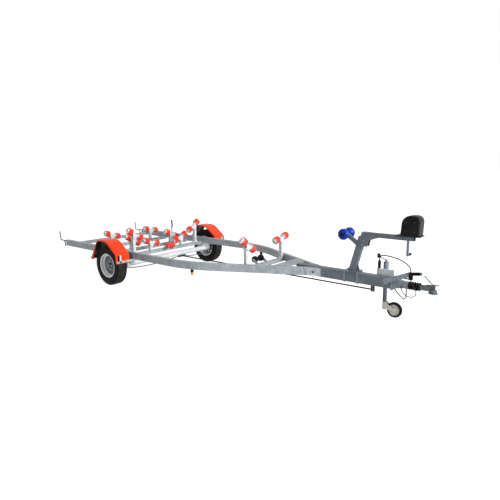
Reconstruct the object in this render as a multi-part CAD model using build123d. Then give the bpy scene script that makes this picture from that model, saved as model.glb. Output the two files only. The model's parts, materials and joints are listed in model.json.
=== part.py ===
"""Single-axle braked boat trailer with swinging roller pairs, winch post and support wheel.

Millimetres, +X forward to the coupling, +Y left, +Z up, the floor at z = 0.
Lengthwise places are measured from the wheel axis, and the whole model is shifted at the end
so that the origin lies on the floor below the middle of the trailer.
"""
from build123d import *
from math import atan2, cos, degrees, hypot, pi, radians, sin, sqrt, tan
import os

# Wheels and axle
TYRE_R = 289.0
TYRE_W = 160.0
TREAD_W = 116.0
WALL_HIGH = 88.0
BEAD_R = 165.0
BEAD_W = 124.0
RIM_FLANGE_R = 178.0
RIM_WALL = 5.0
RIM_WELL_R = 150.0
RIM_LIP = 9.0
RIM_STEP = 12.0
WELL_HALF = 18.0
DISC_R = 124.0
VENT_R = 11.0
VENT_COUNT = 12
VENT_PITCH_R = 106.0
DISC_OFFSET = 22.0
HUB_R = 44.0
HUB_CAP_R = 31.0
HUB_CAP_L = 42.0
STUB_R = 20.0
DRUM_R = 112.0
DRUM_W = 58.0
TRACK = 2000.0
SEAT_GAP = 0.3
RUN_GAP = 0.1
AXLE_Z = TYRE_R

# Frame
RAIL_H = 100.0
RAIL_W = 60.0
RAIL_Z = 430.0
RAIL_INSET = 180.0
RAIL_REAR_X = -1600.0
BEND_X = 1379.0
BEND_TANGENT = 372.0
BEND_DEG = 26.0
RAIL_EDGE_R = 8.0
DRAWBAR_H = 120.0
DRAWBAR_W = 100.0
DRAWBAR_REAR_X = 2620.0
DRAWBAR_FRONT_X = 3850.0
PLATE_T = 8.0
GUSSET_L = 190.0
ARM_PLATE_L = 196.0
ARM_PLATE_H = 94.0
ARM_PLATE_SLANT = 36.0
ARM_HOLE_R = 16.0
ARM_HOLE_BACK = 92.0
ARM_HOLE_DEPTH = 28.0

RAIL_OUT_Y = TRACK / 2 - RAIL_INSET
RAIL_MID_Y = RAIL_OUT_Y - RAIL_W / 2
RAIL_IN_Y = RAIL_OUT_Y - RAIL_W
RAIL_TOP = RAIL_Z + RAIL_H / 2
RAIL_BOTTOM = RAIL_Z - RAIL_H / 2
DRAWBAR_TOP = RAIL_Z + DRAWBAR_H / 2
DRAWBAR_BOTTOM = RAIL_Z - DRAWBAR_H / 2
BEND_RADIUS = BEND_TANGENT / tan(radians(BEND_DEG) / 2)
BEND_START_X = BEND_X - BEND_TANGENT
BEND_CENTRE_Y = RAIL_MID_Y - BEND_RADIUS

# Torsion axle
BEAM_X = 150.0
BEAM_Z = 297.0
BEAM_R = 40.0
ARM_T = 24.0
ARM_GAP = 14.0
ARM_H = 60.0
ARM_EYE_RIM = 6.0
AXLE_BRACKET_TOP = 180.0
AXLE_BRACKET_FOOT = 120.0
BACKPLATE_R = 116.0
BACKPLATE_T = 6.0
DRUM_GAP = 3.0

# Mudguards
GUARD_W = 226.0
GUARD_T = 5.0
GUARD_LIP = 30.0
GUARD_LIP_T = 6.0
GUARD_OVER = 90.0
GUARD_AHEAD = 16.0
GUARD_BEHIND = 56.0
GUARD_FOOT_LIFT = 66.0
GUARD_FRONT_SLOPE = 220.0
GUARD_REAR_SLOPE = 130.0
GUARD_FRONT_KNEE = 75.0
GUARD_REAR_KNEE = 115.0
GUARD_KNEE_R = 90.0
GUARD_FRONT_TOP_R = 240.0
GUARD_REAR_TOP_R = 130.0
GUARD_BAR_H = 30.0
GUARD_BAR_T = 6.0
GUARD_BAR_LIFT = 7.0
GUARD_PAD = 70.0
GUARD_PAD_UP = 30.0

GUARD_TOP = AXLE_Z + TYRE_R + GUARD_OVER
GUARD_FRONT_X = TYRE_R + GUARD_AHEAD
GUARD_REAR_X = -TYRE_R - GUARD_BEHIND
GUARD_FOOT_Z = AXLE_Z + GUARD_FOOT_LIFT

# Roller pairs: tread, hub and rod of one pair, and its rocker
ROLLER_R = 50.0
ROLLER_W = 76.0
ROLLER_HUB_R = 24.0
ROLLER_FACE_DISH = 5.0
ROLLER_EDGE = 9.0
ROLLER_INNER = 62.0
ROD_R = 9.0
ROD_END = 9.0
ROD_HEAD_R = 15.0
SLEEVE_R = 16.0
SLEEVE_HALF = 58.0
ROCKER_RISE = 62.0
ROCKER_T = 6.0
ROCKER_SIDE_GAP = 0.5
PIVOT_R = 8.0
POST_W = 44.0
POST_HEAD = 22.0
PIVOT_EDGE = 19.0
FRONT_BEAM_X = 2068.0
FRONT_STAND_INSET = 40.57
FRONT_ARM_Y = RAIL_MID_Y - (FRONT_BEAM_X - BEND_X) * tan(radians(BEND_DEG)) - RAIL_W / 2 / cos(radians(BEND_DEG))
FRONT_STAND_Y = FRONT_ARM_Y - FRONT_STAND_INSET
# Stands, one row each: name, x, y and height of the rocker's pivot, tilt in degrees (positive: outer roller up)
STANDS = (
    ("front_right", FRONT_BEAM_X, -FRONT_STAND_Y, 660.0, 35.0),
    ("front_left", FRONT_BEAM_X, FRONT_STAND_Y, 646.0, 11.0),
    ("outer_right", 55.0, -632.0, 646.0, 31.0),
    ("outer_left", 55.0, 632.0, 640.0, 33.0),
    ("inner_right", 55.0, -318.0, 482.0, 15.0),
    ("inner_left", 55.0, 318.0, 482.0, 22.0),
    ("middle_right", -320.0, -405.0, 487.0, 31.0),
    ("middle_left", -320.0, 405.0, 487.0, -24.0),
    ("rear_right", -870.0, -403.0, 518.0, 17.0),
    ("rear_left", -870.0, 403.0, 512.0, -11.0),
)

# Cross-beams, one row each: x, height of the tube's middle, width and height of the tube
BEAM_ROWS = (
    (-1480.0, 405.0, 60.0, 50.0),
    (-870.0, 385.0, 60.0, 50.0),
    (-320.0, 385.0, 60.0, 50.0),
    (55.0, 385.0, 60.0, 50.0),
    (FRONT_BEAM_X, 400.0, 60.0, 50.0),
)

# Keel rollers, one row each: name, x, z, half length, end radius, waist radius
KEEL_ROWS = (
    ("front", 1955.0, 462.0, 92.0, 44.0, 26.0),
    ("axle", 150.0, 452.0, 82.0, 44.0, 30.0),
)
KEEL_END_W = 40.0
KEEL_EDGE = 12.0
KEEL_EAR_T = 8.0
KEEL_EAR_GAP = 1.0
KEEL_EAR_ROOT = 24.0
KEEL_EAR_TIP = 20.0
KEEL_EAR_NOSE = 18.0
KEEL_ROD_R = 9.0

# Winch post and its arm
POST_LEAN_DEG = 15.5
POST_FOOT_X = 3362.0
WINCH_POST_L = 80.0
WINCH_POST_W = 50.0
POST_BASE_L = 210.0
POST_BASE_W = 124.0
POST_BRACE_T = 8.0
POST_BRACE_L = 58.0
POST_BRACE_H = 96.0
POST_BRACE_TOP = 26.0
POST_BRACE_SEAT = 4.0
ARM_SIZE = 50.0
ARM_REAR_X = 3476.0
ARM_FRONT_X = 4062.0
ARM_Z = 940.0
CHEEK_T = 8.0
CHEEK_DROP = 112.0
CHEEK_BEND = 40.0
CHEEK_REAR = 40.0
CHEEK_FRONT = 84.0
CHEEK_REACH = 196.0
CHEEK_LAP = 14.0
ARM_EDGE_R = 5.0
BOW_ARM_W = 40.0
BOW_X = 3272.0
BOW_Z = 926.0
BOW_R = 66.0
BOW_INNER_R = 34.0
BOW_LOBE_W = 84.0
BOW_EYE_HALF = 20.0
BOW_SIDE_GAP = 1.0
BOW_ROD_R = 10.0
BOW_NUT_R = 16.0
BOW_NUT_T = 10.0
BOW_EYE_R = 28.0
BOW_ARM_ROOT_Z = 800.0

# Winch
WINCH_W = 150.0
WINCH_REAR_X = 3872.0
WINCH_FRONT_X = 4146.0
WINCH_TOP = 1186.0
WINCH_KNEE = 96.0
WINCH_REAR_LEAN = 44.0
WINCH_TOP_LEAN = 74.0
WINCH_FRONT_BULGE = 8.0
WINCH_REAR_TOP_R = 95.0
WINCH_FRONT_TOP_R = 80.0
WINCH_REAR_KNEE_R = 40.0
WINCH_FRONT_KNEE_R = 30.0
WINCH_SHOULDER_R = 14.0
WINCH_BASE_INSET = 8.0
WINCH_BASE_T = 10.0
SHAFT_X = 3962.0
SHAFT_Z = 1000.0
SHAFT_R = 11.0
CRANK_LENGTH = 262.0
CRANK_T = 10.0
CRANK_W = 26.0
CRANK_GAP = 8.0
GRIP_R = 13.0
GRIP_L = 92.0

# Overrun hitch and coupling
HITCH_FRONT_X = 4030.0
HITCH_Z = 432.0
HITCH_W = 100.0
HITCH_NOSE_R = 42.0
HITCH_FLANGE_T = 14.0
HITCH_FLANGE_RIM = 12.0
HITCH_ROOT_H = 110.0
HITCH_NOSE_L = 60.0
HITCH_EDGE_R = 14.0
HITCH_NOSE_EDGE_R = 30.0
PULL_SHAFT_R = 25.0
PULL_SHAFT_SEAT = 20.0
BELLOWS_FRONT_X = 4157.0
BELLOWS_R = 48.0
BELLOWS_FOLDS = 5
BELLOWS_FOLD_DEPTH = 12.0
BALL_X = 4284.0
BALL_R = 25.2
SOCKET_DEPTH = 34.0
HEAD_R = 41.0
HEAD_FOOT_Z = 384.0
NECK_R = 31.0
HEAD_LIP = 8.0
SADDLE_L = 90.0
SADDLE_W = 28.0
SADDLE_H = 40.0
SADDLE_EDGE_R = 6.0
SADDLE_AHEAD = 20.0
HANDLE_W = 42.0
HANDLE_T = 10.0
HANDLE_TOE = 14.0
HANDLE_RISE = 92.0
HANDLE_RUN = 80.0
HANDLE_GRIP_T = 12.0
LEVER_Y = -80.0
LEVER_T = 26.0
LEVER_PIVOT_X = 3806.0
LEVER_PIVOT_Z = 461.0
LEVER_END_X = 4073.0
LEVER_END_Z = 578.0
LEVER_W = 50.0
LEVER_GRIP_L = 112.0
LEVER_GRIP_R = 16.0
LEVER_GRIP_RISE = 18.0
LEVER_GRIP_SEAT = 10.0
LEVER_EYE_RIM = 8.0
LOCK_HALF = 18.0
LOCK_H = 62.0
LOCK_RIM = 4.0

# Support wheel and its leg
LEG_X = 3720.0
LEG_Y = 112.0
LEG_R = 24.0
LEG_TUBE_R = 30.0
LEG_TUBE_TOP = 630.0
LEG_TUBE_FOOT = 330.0
LEG_FOOT_Z = 200.0
LEG_TRAVEL = 100.0
LEG_TOP_ROOM = 11.0
STEM_FOOT_Z = 78.0
SUPPORT_R = 90.0
SUPPORT_W = 46.0
SUPPORT_TRAIL = 121.0
SUPPORT_AXLE_R = 8.0
FORK_T = 5.0
FORK_GAP = 6.0
FORK_REAR = 14.0
FORK_HEAD_Z = 150.0
FORK_FOOT_Z = 98.0
FORK_SHOULDER = 16.0
FORK_AXLE_END = 6.0
STEM_GAP = 0.5
FELLOE_R = 64.0
SUPPORT_HUB_R = 22.0
SUPPORT_EDGE = 12.0
SUPPORT_DISH = 10.0
LEG_TOP_Z = LEG_TUBE_TOP - LEG_TRAVEL - 2 * LEG_TOP_ROOM
CLAMP_L = 200.0
CLAMP_REAR = 80.0
CLAMP_H = 150.0
CLAMP_TOP = 560.0
COLLAR_WALL = 9.0
COLLAR_INSET = 20.0
CLAMP_WEB = 48.0
CLAMP_BOLT_R = 8.0
CLAMP_BOLT_L = 38.0
TOGGLE_R = 6.0
TOGGLE_L = 88.0
LEG_HEAD_R = 13.0
LEG_HEAD_H = 26.0
CRANK_RISE = 32.0
CRANK_REACH = 92.0
CRANK_ROD_R = 6.0
CRANK_KNOB_R = 14.0
CRANK_KNOB_H = 46.0

# Brake linkage
ROD_Z = 315.0
BRAKE_ROD_R = 6.0
EQUALISER_X = 420.0
EQUALISER_W = 150.0
CABLE_R = 7.0
RELAY_X = 3620.0
RELAY_L = 44.0
RELAY_W = 18.0
EQUALISER_T = 12.0
EQUALISER_H = 32.0
ROD_EYE = 14.0
CABLE_DROP = 86.0
CABLE_END_X = 80.0
CABLE_INSET = 20.0

# Small pieces
MARKER_X = 1434.0
MARKER_SIZE = (34.0, 24.0, 76.0)
MARKER_EDGE_R = 5.0
HANDLE_ROD_R = 8.0
SPINDLE_L = 96.0
SPINDLE_LIFT = 24.0
HANDLE_UP = 148.0
HANDLE_DOWN = 100.0
HANDLE_LEAN = 24.0
HANDLE_CRANK = 14.0
UPRIGHT_X = -720.0
UPRIGHT_RISES = (92.0, 140.0, 236.0)
HANGER_R = 7.0
HANGER_SET = 16.0
HANGER_FRONT = 26.0
HANGER_TIP_BACK = 28.0
HANGER_HEIGHTS = (356.0, 264.0, 292.0)
HANGER_BENDS = (12.0, 10.0, 12.0)
CORD_R = 4.5
BREAKAWAY_R = 3.0
PLUG_R = 17.0
PLUG_L = 96.0
PLUG_NECK_R = 10.0
PLUG_NECK_L = 30.0
PLUG_X = 3664.0
PLUG_Y = DRAWBAR_W / 2 + PLATE_T / 2
PLUG_TOP = CLAMP_TOP + PLUG_L

REAR_END_X = -1848.0
FRONT_END_X = 4345.0
SHIFT_X = -(REAR_END_X + FRONT_END_X) / 2

NODES = {}


def keep(name, shape):
    """Files a finished piece under its node name."""
    NODES[name] = shape


def block(x0, x1, y0, y1, z0, z1):
    """A box between two corners."""
    centre = ((x0 + x1) / 2, (y0 + y1) / 2, (z0 + z1) / 2)
    return Pos(*centre) * Box(abs(x1 - x0), abs(y1 - y0), abs(z1 - z0))


def rod(start, end, radius):
    """A round bar from one point to another."""
    start, end = Vector(*start), Vector(*end)
    plane = Plane(origin=start, z_dir=end - start)
    return extrude(plane * Circle(radius), (end - start).length)


def drum_y(x, y0, y1, z, radius):
    """A cylinder about a crosswise axis."""
    return rod((x, y0, z), (x, y1, z), radius)


def slab_y(points, y0, y1):
    """An outline in the side view, given as (x, z) points, carried across from y0 to y1."""
    face = make_face(Polyline(*[(x, y0, z) for x, z in points], close=True))
    return extrude(face, amount=y1 - y0, dir=(0, 1, 0))


def both_sides(shape):
    """A piece of the left side and its mirror image."""
    return [shape, mirror(shape, Plane.XZ)]


def turned(profile, x, y, z):
    """Turns a closed (radius, along) outline about the crosswise axis through a point."""
    face = make_face(Polyline(*[(r, a, 0) for r, a in profile], close=True))
    solid = revolve(face, Axis.Y)
    return Pos(x, y, z) * solid


def rail_plan_y(x, offset):
    """Sideways place of the left rail's bent middle line, moved outwards by an offset, inside the bend."""
    radius = BEND_RADIUS + offset
    return BEND_CENTRE_Y + sqrt(radius ** 2 - (x - BEND_START_X) ** 2)


def arm_y(x, offset=0.0):
    """Sideways place of the left front arm's middle line at a given length, moved outwards by an offset."""
    turn = radians(BEND_DEG)
    end_x = BEND_START_X + (BEND_RADIUS + offset) * sin(turn)
    end_y = BEND_CENTRE_Y + (BEND_RADIUS + offset) * cos(turn)
    return end_y - (x - end_x) * tan(turn)


def arm_face():
    """Plane of the left front arm's outer face: origin at its tip, x along the arm, y down, z outwards."""
    turn = radians(BEND_DEG)
    tip_x = BEND_X + (RAIL_MID_Y + RAIL_W / 2 / cos(turn) - DRAWBAR_W / 2) / tan(turn)
    along = (cos(turn), -sin(turn), 0)
    return Plane(origin=(tip_x, DRAWBAR_W / 2, RAIL_Z), x_dir=along, z_dir=(sin(turn), cos(turn), 0))


def side_rail():
    """The left rail: straight, bent inwards on a large radius, and mitred on to the drawbar's side."""
    turn = radians(BEND_DEG)
    reach = (DRAWBAR_FRONT_X - BEND_X) / cos(turn)
    edges = []
    corners = []
    for offset in (RAIL_W / 2, -RAIL_W / 2):
        radius = BEND_RADIUS + offset
        rear = Vector(RAIL_REAR_X, RAIL_MID_Y + offset)
        start = Vector(BEND_START_X, RAIL_MID_Y + offset)
        middle = Vector(BEND_START_X + radius * sin(turn / 2), BEND_CENTRE_Y + radius * cos(turn / 2))
        finish = Vector(BEND_START_X + radius * sin(turn), BEND_CENTRE_Y + radius * cos(turn))
        front = finish + Vector(cos(turn), -sin(turn)) * reach
        edges += [Line(rear, start), ThreePointArc(start, middle, finish), Line(finish, front)]
        corners.append((rear, front))
    edges += [Line(corners[0][0], corners[1][0]), Line(corners[0][1], corners[1][1])]
    rail = extrude(Pos(0, 0, RAIL_BOTTOM) * make_face(edges), RAIL_H, dir=(0, 0, 1))
    long_edges = [e for e in rail.edges() if e.length > 2 * RAIL_W and abs(e.center().Z - RAIL_Z) > RAIL_H / 4]
    rail = fillet(long_edges, RAIL_EDGE_R)
    far_side = block(RAIL_REAR_X, DRAWBAR_FRONT_X * 2, -RAIL_OUT_Y * 4, DRAWBAR_W / 2, 0, RAIL_TOP * 2)
    hole = arm_face().location * Pos(-ARM_HOLE_BACK, 0, 0) * Cylinder(ARM_HOLE_R, 2 * ARM_HOLE_DEPTH)
    return rail - far_side - hole


def drawbar():
    """Square-cornered box tube from between the arms to the hitch."""
    bar = block(DRAWBAR_REAR_X, DRAWBAR_FRONT_X, -DRAWBAR_W / 2, DRAWBAR_W / 2, DRAWBAR_BOTTOM, DRAWBAR_TOP)
    return fillet(bar.edges().filter_by(Axis.X), RAIL_EDGE_R)


def arm_plate():
    """Splice plate on the left arm's outer face at its tip, with one open hole and a slanted rear edge."""
    half = ARM_PLATE_H / 2
    corners = [(0, -half), (0, half), (ARM_PLATE_SLANT - ARM_PLATE_L, half), (-ARM_PLATE_L, -half)]
    outline = make_face(Polyline(*corners, close=True)) - Pos(-ARM_HOLE_BACK, 0) * Circle(ARM_HOLE_R)
    return arm_face().location * extrude(outline, PLATE_T, dir=(0, 0, 1))


def drawbar_gussets():
    """Upper and lower plates that tie the two arms to the drawbar's rear end, and the arms' splice plates."""
    front = DRAWBAR_REAR_X
    rear = front - GUSSET_L
    solids = []
    for z in (RAIL_TOP, RAIL_BOTTOM - PLATE_T):
        outline = [(rear, arm_y(rear)), (front - SEAT_GAP, arm_y(front))]
        outline += [(x, -y) for x, y in reversed(outline)]
        solids.append(extrude(Pos(0, 0, z) * make_face(Polyline(*outline, close=True)), PLATE_T, dir=(0, 0, 1)))
    return solids + both_sides(arm_plate())


def beam_reach(x):
    """Sideways reach of a cross-beam at a given length: up to the inner face of the rail or arm."""
    if x < BEND_START_X:
        return RAIL_IN_Y
    return arm_y(x, -RAIL_W / 2)


def cross_beams():
    """Square tubes between the rails, cut to the arms' slope at the front one."""
    solids = []
    for x, z, width, height in BEAM_ROWS:
        outline = []
        for end in (x - width / 2, x + width / 2):
            outline.append((end, beam_reach(end)))
        outline += [(px, -py) for px, py in reversed(outline)]
        face = make_face(Polyline(*outline, close=True))
        solids.append(extrude(Pos(0, 0, z - height / 2) * face, height, dir=(0, 0, 1)))
    return solids


def beam_top(x):
    """Top height of the cross-beam that stands at a given length."""
    for bx, z, width, height in BEAM_ROWS:
        if abs(bx - x) < width:
            return z + height / 2
    return RAIL_TOP


def tilt_of(y, tilt):
    """Turn about +X, in degrees, that lifts the outer roller by the given tilt."""
    return tilt if y > 0 else -tilt


def pair_middle(x, y, z, tilt):
    """Middle of a roller pair's rod: square above the rocker's pivot."""
    turn = radians(tilt_of(y, tilt))
    return x, y - ROCKER_RISE * sin(turn), z + ROCKER_RISE * cos(turn)


def pair_place(x, y, z, tilt):
    """Placement whose Y axis runs along a roller pair's rod, outwards on the left side."""
    return Pos(*pair_middle(x, y, z, tilt)) * Rot(tilt_of(y, tilt), 0, 0)


def roller_post(x, y, z):
    """Upright on a cross-beam, rounded at its head and drilled for the rocker's pivot bolt."""
    body = block(x - POST_W / 2, x + POST_W / 2, y - POST_W / 2, y + POST_W / 2, beam_top(x), z)
    head = rod((x - POST_W / 2, y, z), (x + POST_W / 2, y, z), POST_HEAD)
    hole = rod((x - POST_W, y, z), (x + POST_W, y, z), PIVOT_R + RUN_GAP)
    return body + head - hole


def rocker(x, y, z, tilt):
    """Two cheek plates on the post's pivot bolt, carrying the sleeve and rod of a roller pair."""
    side = POST_W / 2 + ROCKER_SIDE_GAP
    foot = -ROCKER_RISE - PIVOT_R
    outline = [(-SLEEVE_HALF, 0), (SLEEVE_HALF, 0), (PIVOT_EDGE, foot), (-PIVOT_EDGE, foot)]
    shape = rod((0, -SLEEVE_HALF, 0), (0, SLEEVE_HALF, 0), SLEEVE_R)
    for face_x in (-side - ROCKER_T, side):
        plate = make_face(Polyline(*[(face_x, u, v) for u, v in outline], close=True))
        shape += extrude(plate, ROCKER_T, dir=(1, 0, 0))
    bridge = SLEEVE_R / 2
    shape += block(-side - ROCKER_T, side + ROCKER_T, -SLEEVE_HALF, SLEEVE_HALF, -bridge, bridge)
    shape += rod((-side - ROCKER_T, 0, -ROCKER_RISE), (side + ROCKER_T, 0, -ROCKER_RISE), PIVOT_R)
    tip = ROLLER_INNER + ROLLER_W
    shape += rod((0, -tip - ROD_END, 0), (0, tip + ROD_END, 0), ROD_R)
    for sign in (-1, 1):
        shape += rod((0, sign * (tip + 1), 0), (0, sign * (tip + ROD_END), 0), ROD_HEAD_R)
    return pair_place(x, y, z, tilt) * shape


def roller(sign):
    """One roller of a pair: a tread with sloping edges and dished faces on a bored hub."""
    bore = ROD_R + RUN_GAP
    flank = [(bore, 0.0), (ROLLER_HUB_R, 0.0), (ROLLER_HUB_R + ROLLER_FACE_DISH, ROLLER_FACE_DISH),
             (ROLLER_R - ROLLER_EDGE - ROLLER_FACE_DISH, ROLLER_FACE_DISH), (ROLLER_R - ROLLER_EDGE, 0.0),
             (ROLLER_R - ROLLER_EDGE / 4, ROLLER_EDGE / 3), (ROLLER_R, ROLLER_EDGE)]
    inner = [(r, ROLLER_INNER + a) for r, a in flank]
    outer = [(r, ROLLER_INNER + ROLLER_W - a) for r, a in reversed(flank)]
    solid = turned(inner + outer, 0, 0, 0)
    return solid if sign > 0 else mirror(solid, Plane.XZ)


def roller_pair(x, y, z, tilt):
    """Two like rollers on one rod."""
    place = pair_place(x, y, z, tilt)
    return [place * roller(1), place * roller(-1)]


def keel_roller(x, z, half, end_r, waist_r):
    """Spool-shaped keel roller: two round ends and a narrower waist, bored for its rod."""
    bore = KEEL_ROD_R + RUN_GAP
    slope = half - KEEL_END_W
    waist = slope - (end_r - waist_r)
    flank = [(bore, half), (end_r - KEEL_EDGE, half), (end_r, half - KEEL_EDGE), (end_r, slope), (waist_r, waist)]
    profile = [(r, -a) for r, a in flank] + list(reversed(flank))
    return turned(profile, x, 0, z)


def keel_bracket(x, z, half, beam_x, beam_z, beam_w):
    """Two ears that reach from a cross-beam's face to the ends of a keel roller's rod, with the rod."""
    inner = half + KEEL_EAR_GAP
    toward = 1.0 if x > beam_x else -1.0
    face_x = beam_x + toward * beam_w / 2
    ear = [(face_x, beam_z - KEEL_EAR_ROOT), (face_x, beam_z + KEEL_EAR_ROOT), (x, z + KEEL_EAR_TIP),
           (x + toward * KEEL_EAR_NOSE, z), (x, z - KEEL_EAR_TIP)]
    shape = drum_y(x, -inner - KEEL_EAR_T, inner + KEEL_EAR_T, z, KEEL_ROD_R)
    for y0 in (-inner - KEEL_EAR_T, inner):
        shape += slab_y(ear, y0, y0 + KEEL_EAR_T)
    return shape


def tyre(side):
    """Road tyre: beads, bulging walls, sloping shoulders and a flat tread, turned about the wheel's axis."""
    half = [(BEAD_R + SEAT_GAP, BEAD_W / 2), (BEAD_R + WALL_HIGH, TYRE_W / 2), (TYRE_R, TREAD_W / 2)]
    profile = half + [(r, -a) for r, a in reversed(half)]
    return turned(profile, 0, side * TRACK / 2, AXLE_Z)


def rim_outline():
    """Outline of the pressed steel wheel: flanges, dished disc, hub and brake drum in one turned piece."""
    half = BEAD_W / 2 + RIM_LIP
    wall = RIM_WALL
    disc = DISC_OFFSET
    bore = STUB_R + RUN_GAP
    drum_in = drum_inner_y() - TRACK / 2
    drum_out = drum_in + DRUM_W
    seat = BEAD_R - wall
    well = RIM_WELL_R - wall
    return [
        (bore, drum_in), (DRUM_R, drum_in), (DRUM_R, drum_out), (HUB_R + 4 * wall, drum_out),
        (HUB_R + 3 * wall, disc - 2 * wall), (DISC_R, disc - 3 * wall), (well, disc - 5 * wall), (well, -WELL_HALF),
        (seat, -WELL_HALF - RIM_STEP), (seat, wall - half), (RIM_FLANGE_R, wall - half), (RIM_FLANGE_R, -half),
        (BEAD_R, -half), (BEAD_R, -WELL_HALF - RIM_STEP), (RIM_WELL_R, -WELL_HALF), (RIM_WELL_R, WELL_HALF),
        (BEAD_R, WELL_HALF + RIM_STEP), (BEAD_R, half), (RIM_FLANGE_R, half), (RIM_FLANGE_R, half - wall),
        (seat, half - wall), (seat, WELL_HALF + RIM_STEP), (well, WELL_HALF + wall), (well, disc - 2 * wall),
        (DISC_R, disc - wall), (HUB_R + 4 * wall, disc + 2 * wall), (HUB_R, disc), (HUB_CAP_R, disc),
        (HUB_CAP_R, disc + HUB_CAP_L), (0, disc + HUB_CAP_L), (0, disc - wall), (bore, disc - wall),
    ]


def drum_inner_y():
    """Sideways place of the brake drum's open face."""
    return RAIL_OUT_Y + ARM_GAP + ARM_T + BACKPLATE_T + DRUM_GAP


def wheel_rim(side):
    """The turned wheel with a ring of vents through its disc, on the left or the right side."""
    solid = turned(rim_outline(), 0, TRACK / 2, AXLE_Z)
    for index in range(VENT_COUNT):
        turn = 2 * pi * index / VENT_COUNT
        x = VENT_PITCH_R * cos(turn)
        z = AXLE_Z + VENT_PITCH_R * sin(turn)
        y = TRACK / 2 + DISC_OFFSET
        solid -= drum_y(x, y - RIM_WELL_R / 3, y + RIM_WELL_R / 3, z, VENT_R)
    return solid if side > 0 else mirror(solid, Plane.XZ)


def torsion_axle():
    """Round axle tube with its rail brackets, trailing arms, backplates and stub axles."""
    arm_in = RAIL_OUT_Y + ARM_GAP
    arm_out = arm_in + ARM_T
    plate_out = arm_out + BACKPLATE_T
    stub_end = TRACK / 2 + DISC_OFFSET - RIM_WALL - SEAT_GAP
    span = hypot(BEAM_X, BEAM_Z - AXLE_Z)
    lean = degrees(atan2(BEAM_Z - AXLE_Z, BEAM_X))
    top, foot = AXLE_BRACKET_TOP / 2, AXLE_BRACKET_FOOT / 2
    bracket = [(BEAM_X - top, RAIL_BOTTOM), (BEAM_X + top, RAIL_BOTTOM),
               (BEAM_X + foot, BEAM_Z), (BEAM_X - foot, BEAM_Z)]
    shape = drum_y(BEAM_X, -arm_in, arm_in, BEAM_Z, BEAM_R)
    for sign in (1, -1):
        shape += slab_y(bracket, sign * RAIL_MID_Y - RAIL_W / 2, sign * RAIL_MID_Y + RAIL_W / 2)
        bar = Pos(BEAM_X / 2, sign * (arm_in + arm_out) / 2, (BEAM_Z + AXLE_Z) / 2) * Rot(0, -lean, 0)
        shape += bar * Box(span, ARM_T, ARM_H)
        shape += drum_y(BEAM_X, sign * arm_in, sign * arm_out, BEAM_Z, BEAM_R + ARM_EYE_RIM)
        shape += drum_y(0, sign * arm_in, sign * arm_out, AXLE_Z, BEAM_R)
        shape += drum_y(0, sign * arm_out, sign * plate_out, AXLE_Z, BACKPLATE_R)
        shape += drum_y(0, sign * arm_out, sign * stub_end, AXLE_Z, STUB_R)
    return shape


def guard_end(foot_x, slope, knee, offset, sign):
    """Foot, knee and top corner of one end of the mudguard's side outline, moved inwards by an offset."""
    knee_z = GUARD_FOOT_Z + knee
    rise = GUARD_TOP - knee_z
    across, up = rise / hypot(rise, slope), slope / hypot(rise, slope)
    edge_x = foot_x - sign * offset
    top_x = foot_x - sign * (slope + offset * (1 - up) / across)
    return (edge_x, GUARD_FOOT_Z), (edge_x, knee_z - offset * (1 - across) / up), (top_x, GUARD_TOP - offset)


def guard_outline(offset):
    """Side outline of the mudguard's sheet, moved inwards by an offset: feet, slopes and flat top."""
    rear = guard_end(GUARD_REAR_X, GUARD_REAR_SLOPE, GUARD_REAR_KNEE, offset, -1)
    front = guard_end(GUARD_FRONT_X, GUARD_FRONT_SLOPE, GUARD_FRONT_KNEE, offset, 1)
    bends = (GUARD_KNEE_R, GUARD_REAR_TOP_R, GUARD_FRONT_TOP_R, GUARD_KNEE_R)
    points = rear + tuple(reversed(front))
    return FilletPolyline(*[(x, 0, z) for x, z in points], radius=[bend - offset for bend in bends])


def guard_band(thickness, y0, y1):
    """The mudguard's sheet, of a given thickness, between two sideways places."""
    outer = guard_outline(0.0)
    inner = guard_outline(thickness)
    ends = [Line(outer @ 0, inner @ 0), Line(outer @ 1, inner @ 1)]
    face = make_face(outer.edges() + inner.edges() + ends)
    return extrude(Pos(0, y0, 0) * face, amount=y1 - y0, dir=(0, 1, 0))


def mudguard():
    """Moulded mudguard of the left wheel: a bent sheet with a deeper lip along both edges."""
    inner = TRACK / 2 - GUARD_W / 2
    outer = TRACK / 2 + GUARD_W / 2
    shape = guard_band(GUARD_T, inner, outer)
    shape += guard_band(GUARD_LIP, inner, inner + GUARD_LIP_T)
    shape += guard_band(GUARD_LIP, outer - GUARD_LIP_T, outer)
    return shape


def mudguard_brackets():
    """Flat bars across the outside of the mudguard's feet, each on a pad at the rail's outer face."""
    foot = GUARD_FOOT_Z + GUARD_BAR_LIFT
    outer = TRACK / 2 + GUARD_W / 2
    solids = []
    for face_x, out in ((GUARD_FRONT_X, 1.0), (GUARD_REAR_X, -1.0)):
        far_x = face_x + out * GUARD_BAR_T
        bar = block(face_x, far_x, RAIL_OUT_Y, outer, foot, foot + GUARD_BAR_H)
        pad_x = far_x - out * GUARD_PAD
        pad = block(pad_x, far_x, RAIL_OUT_Y, RAIL_OUT_Y + GUARD_BAR_T, foot, RAIL_Z + GUARD_PAD_UP)
        solids += both_sides(bar + pad)
    return solids


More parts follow.
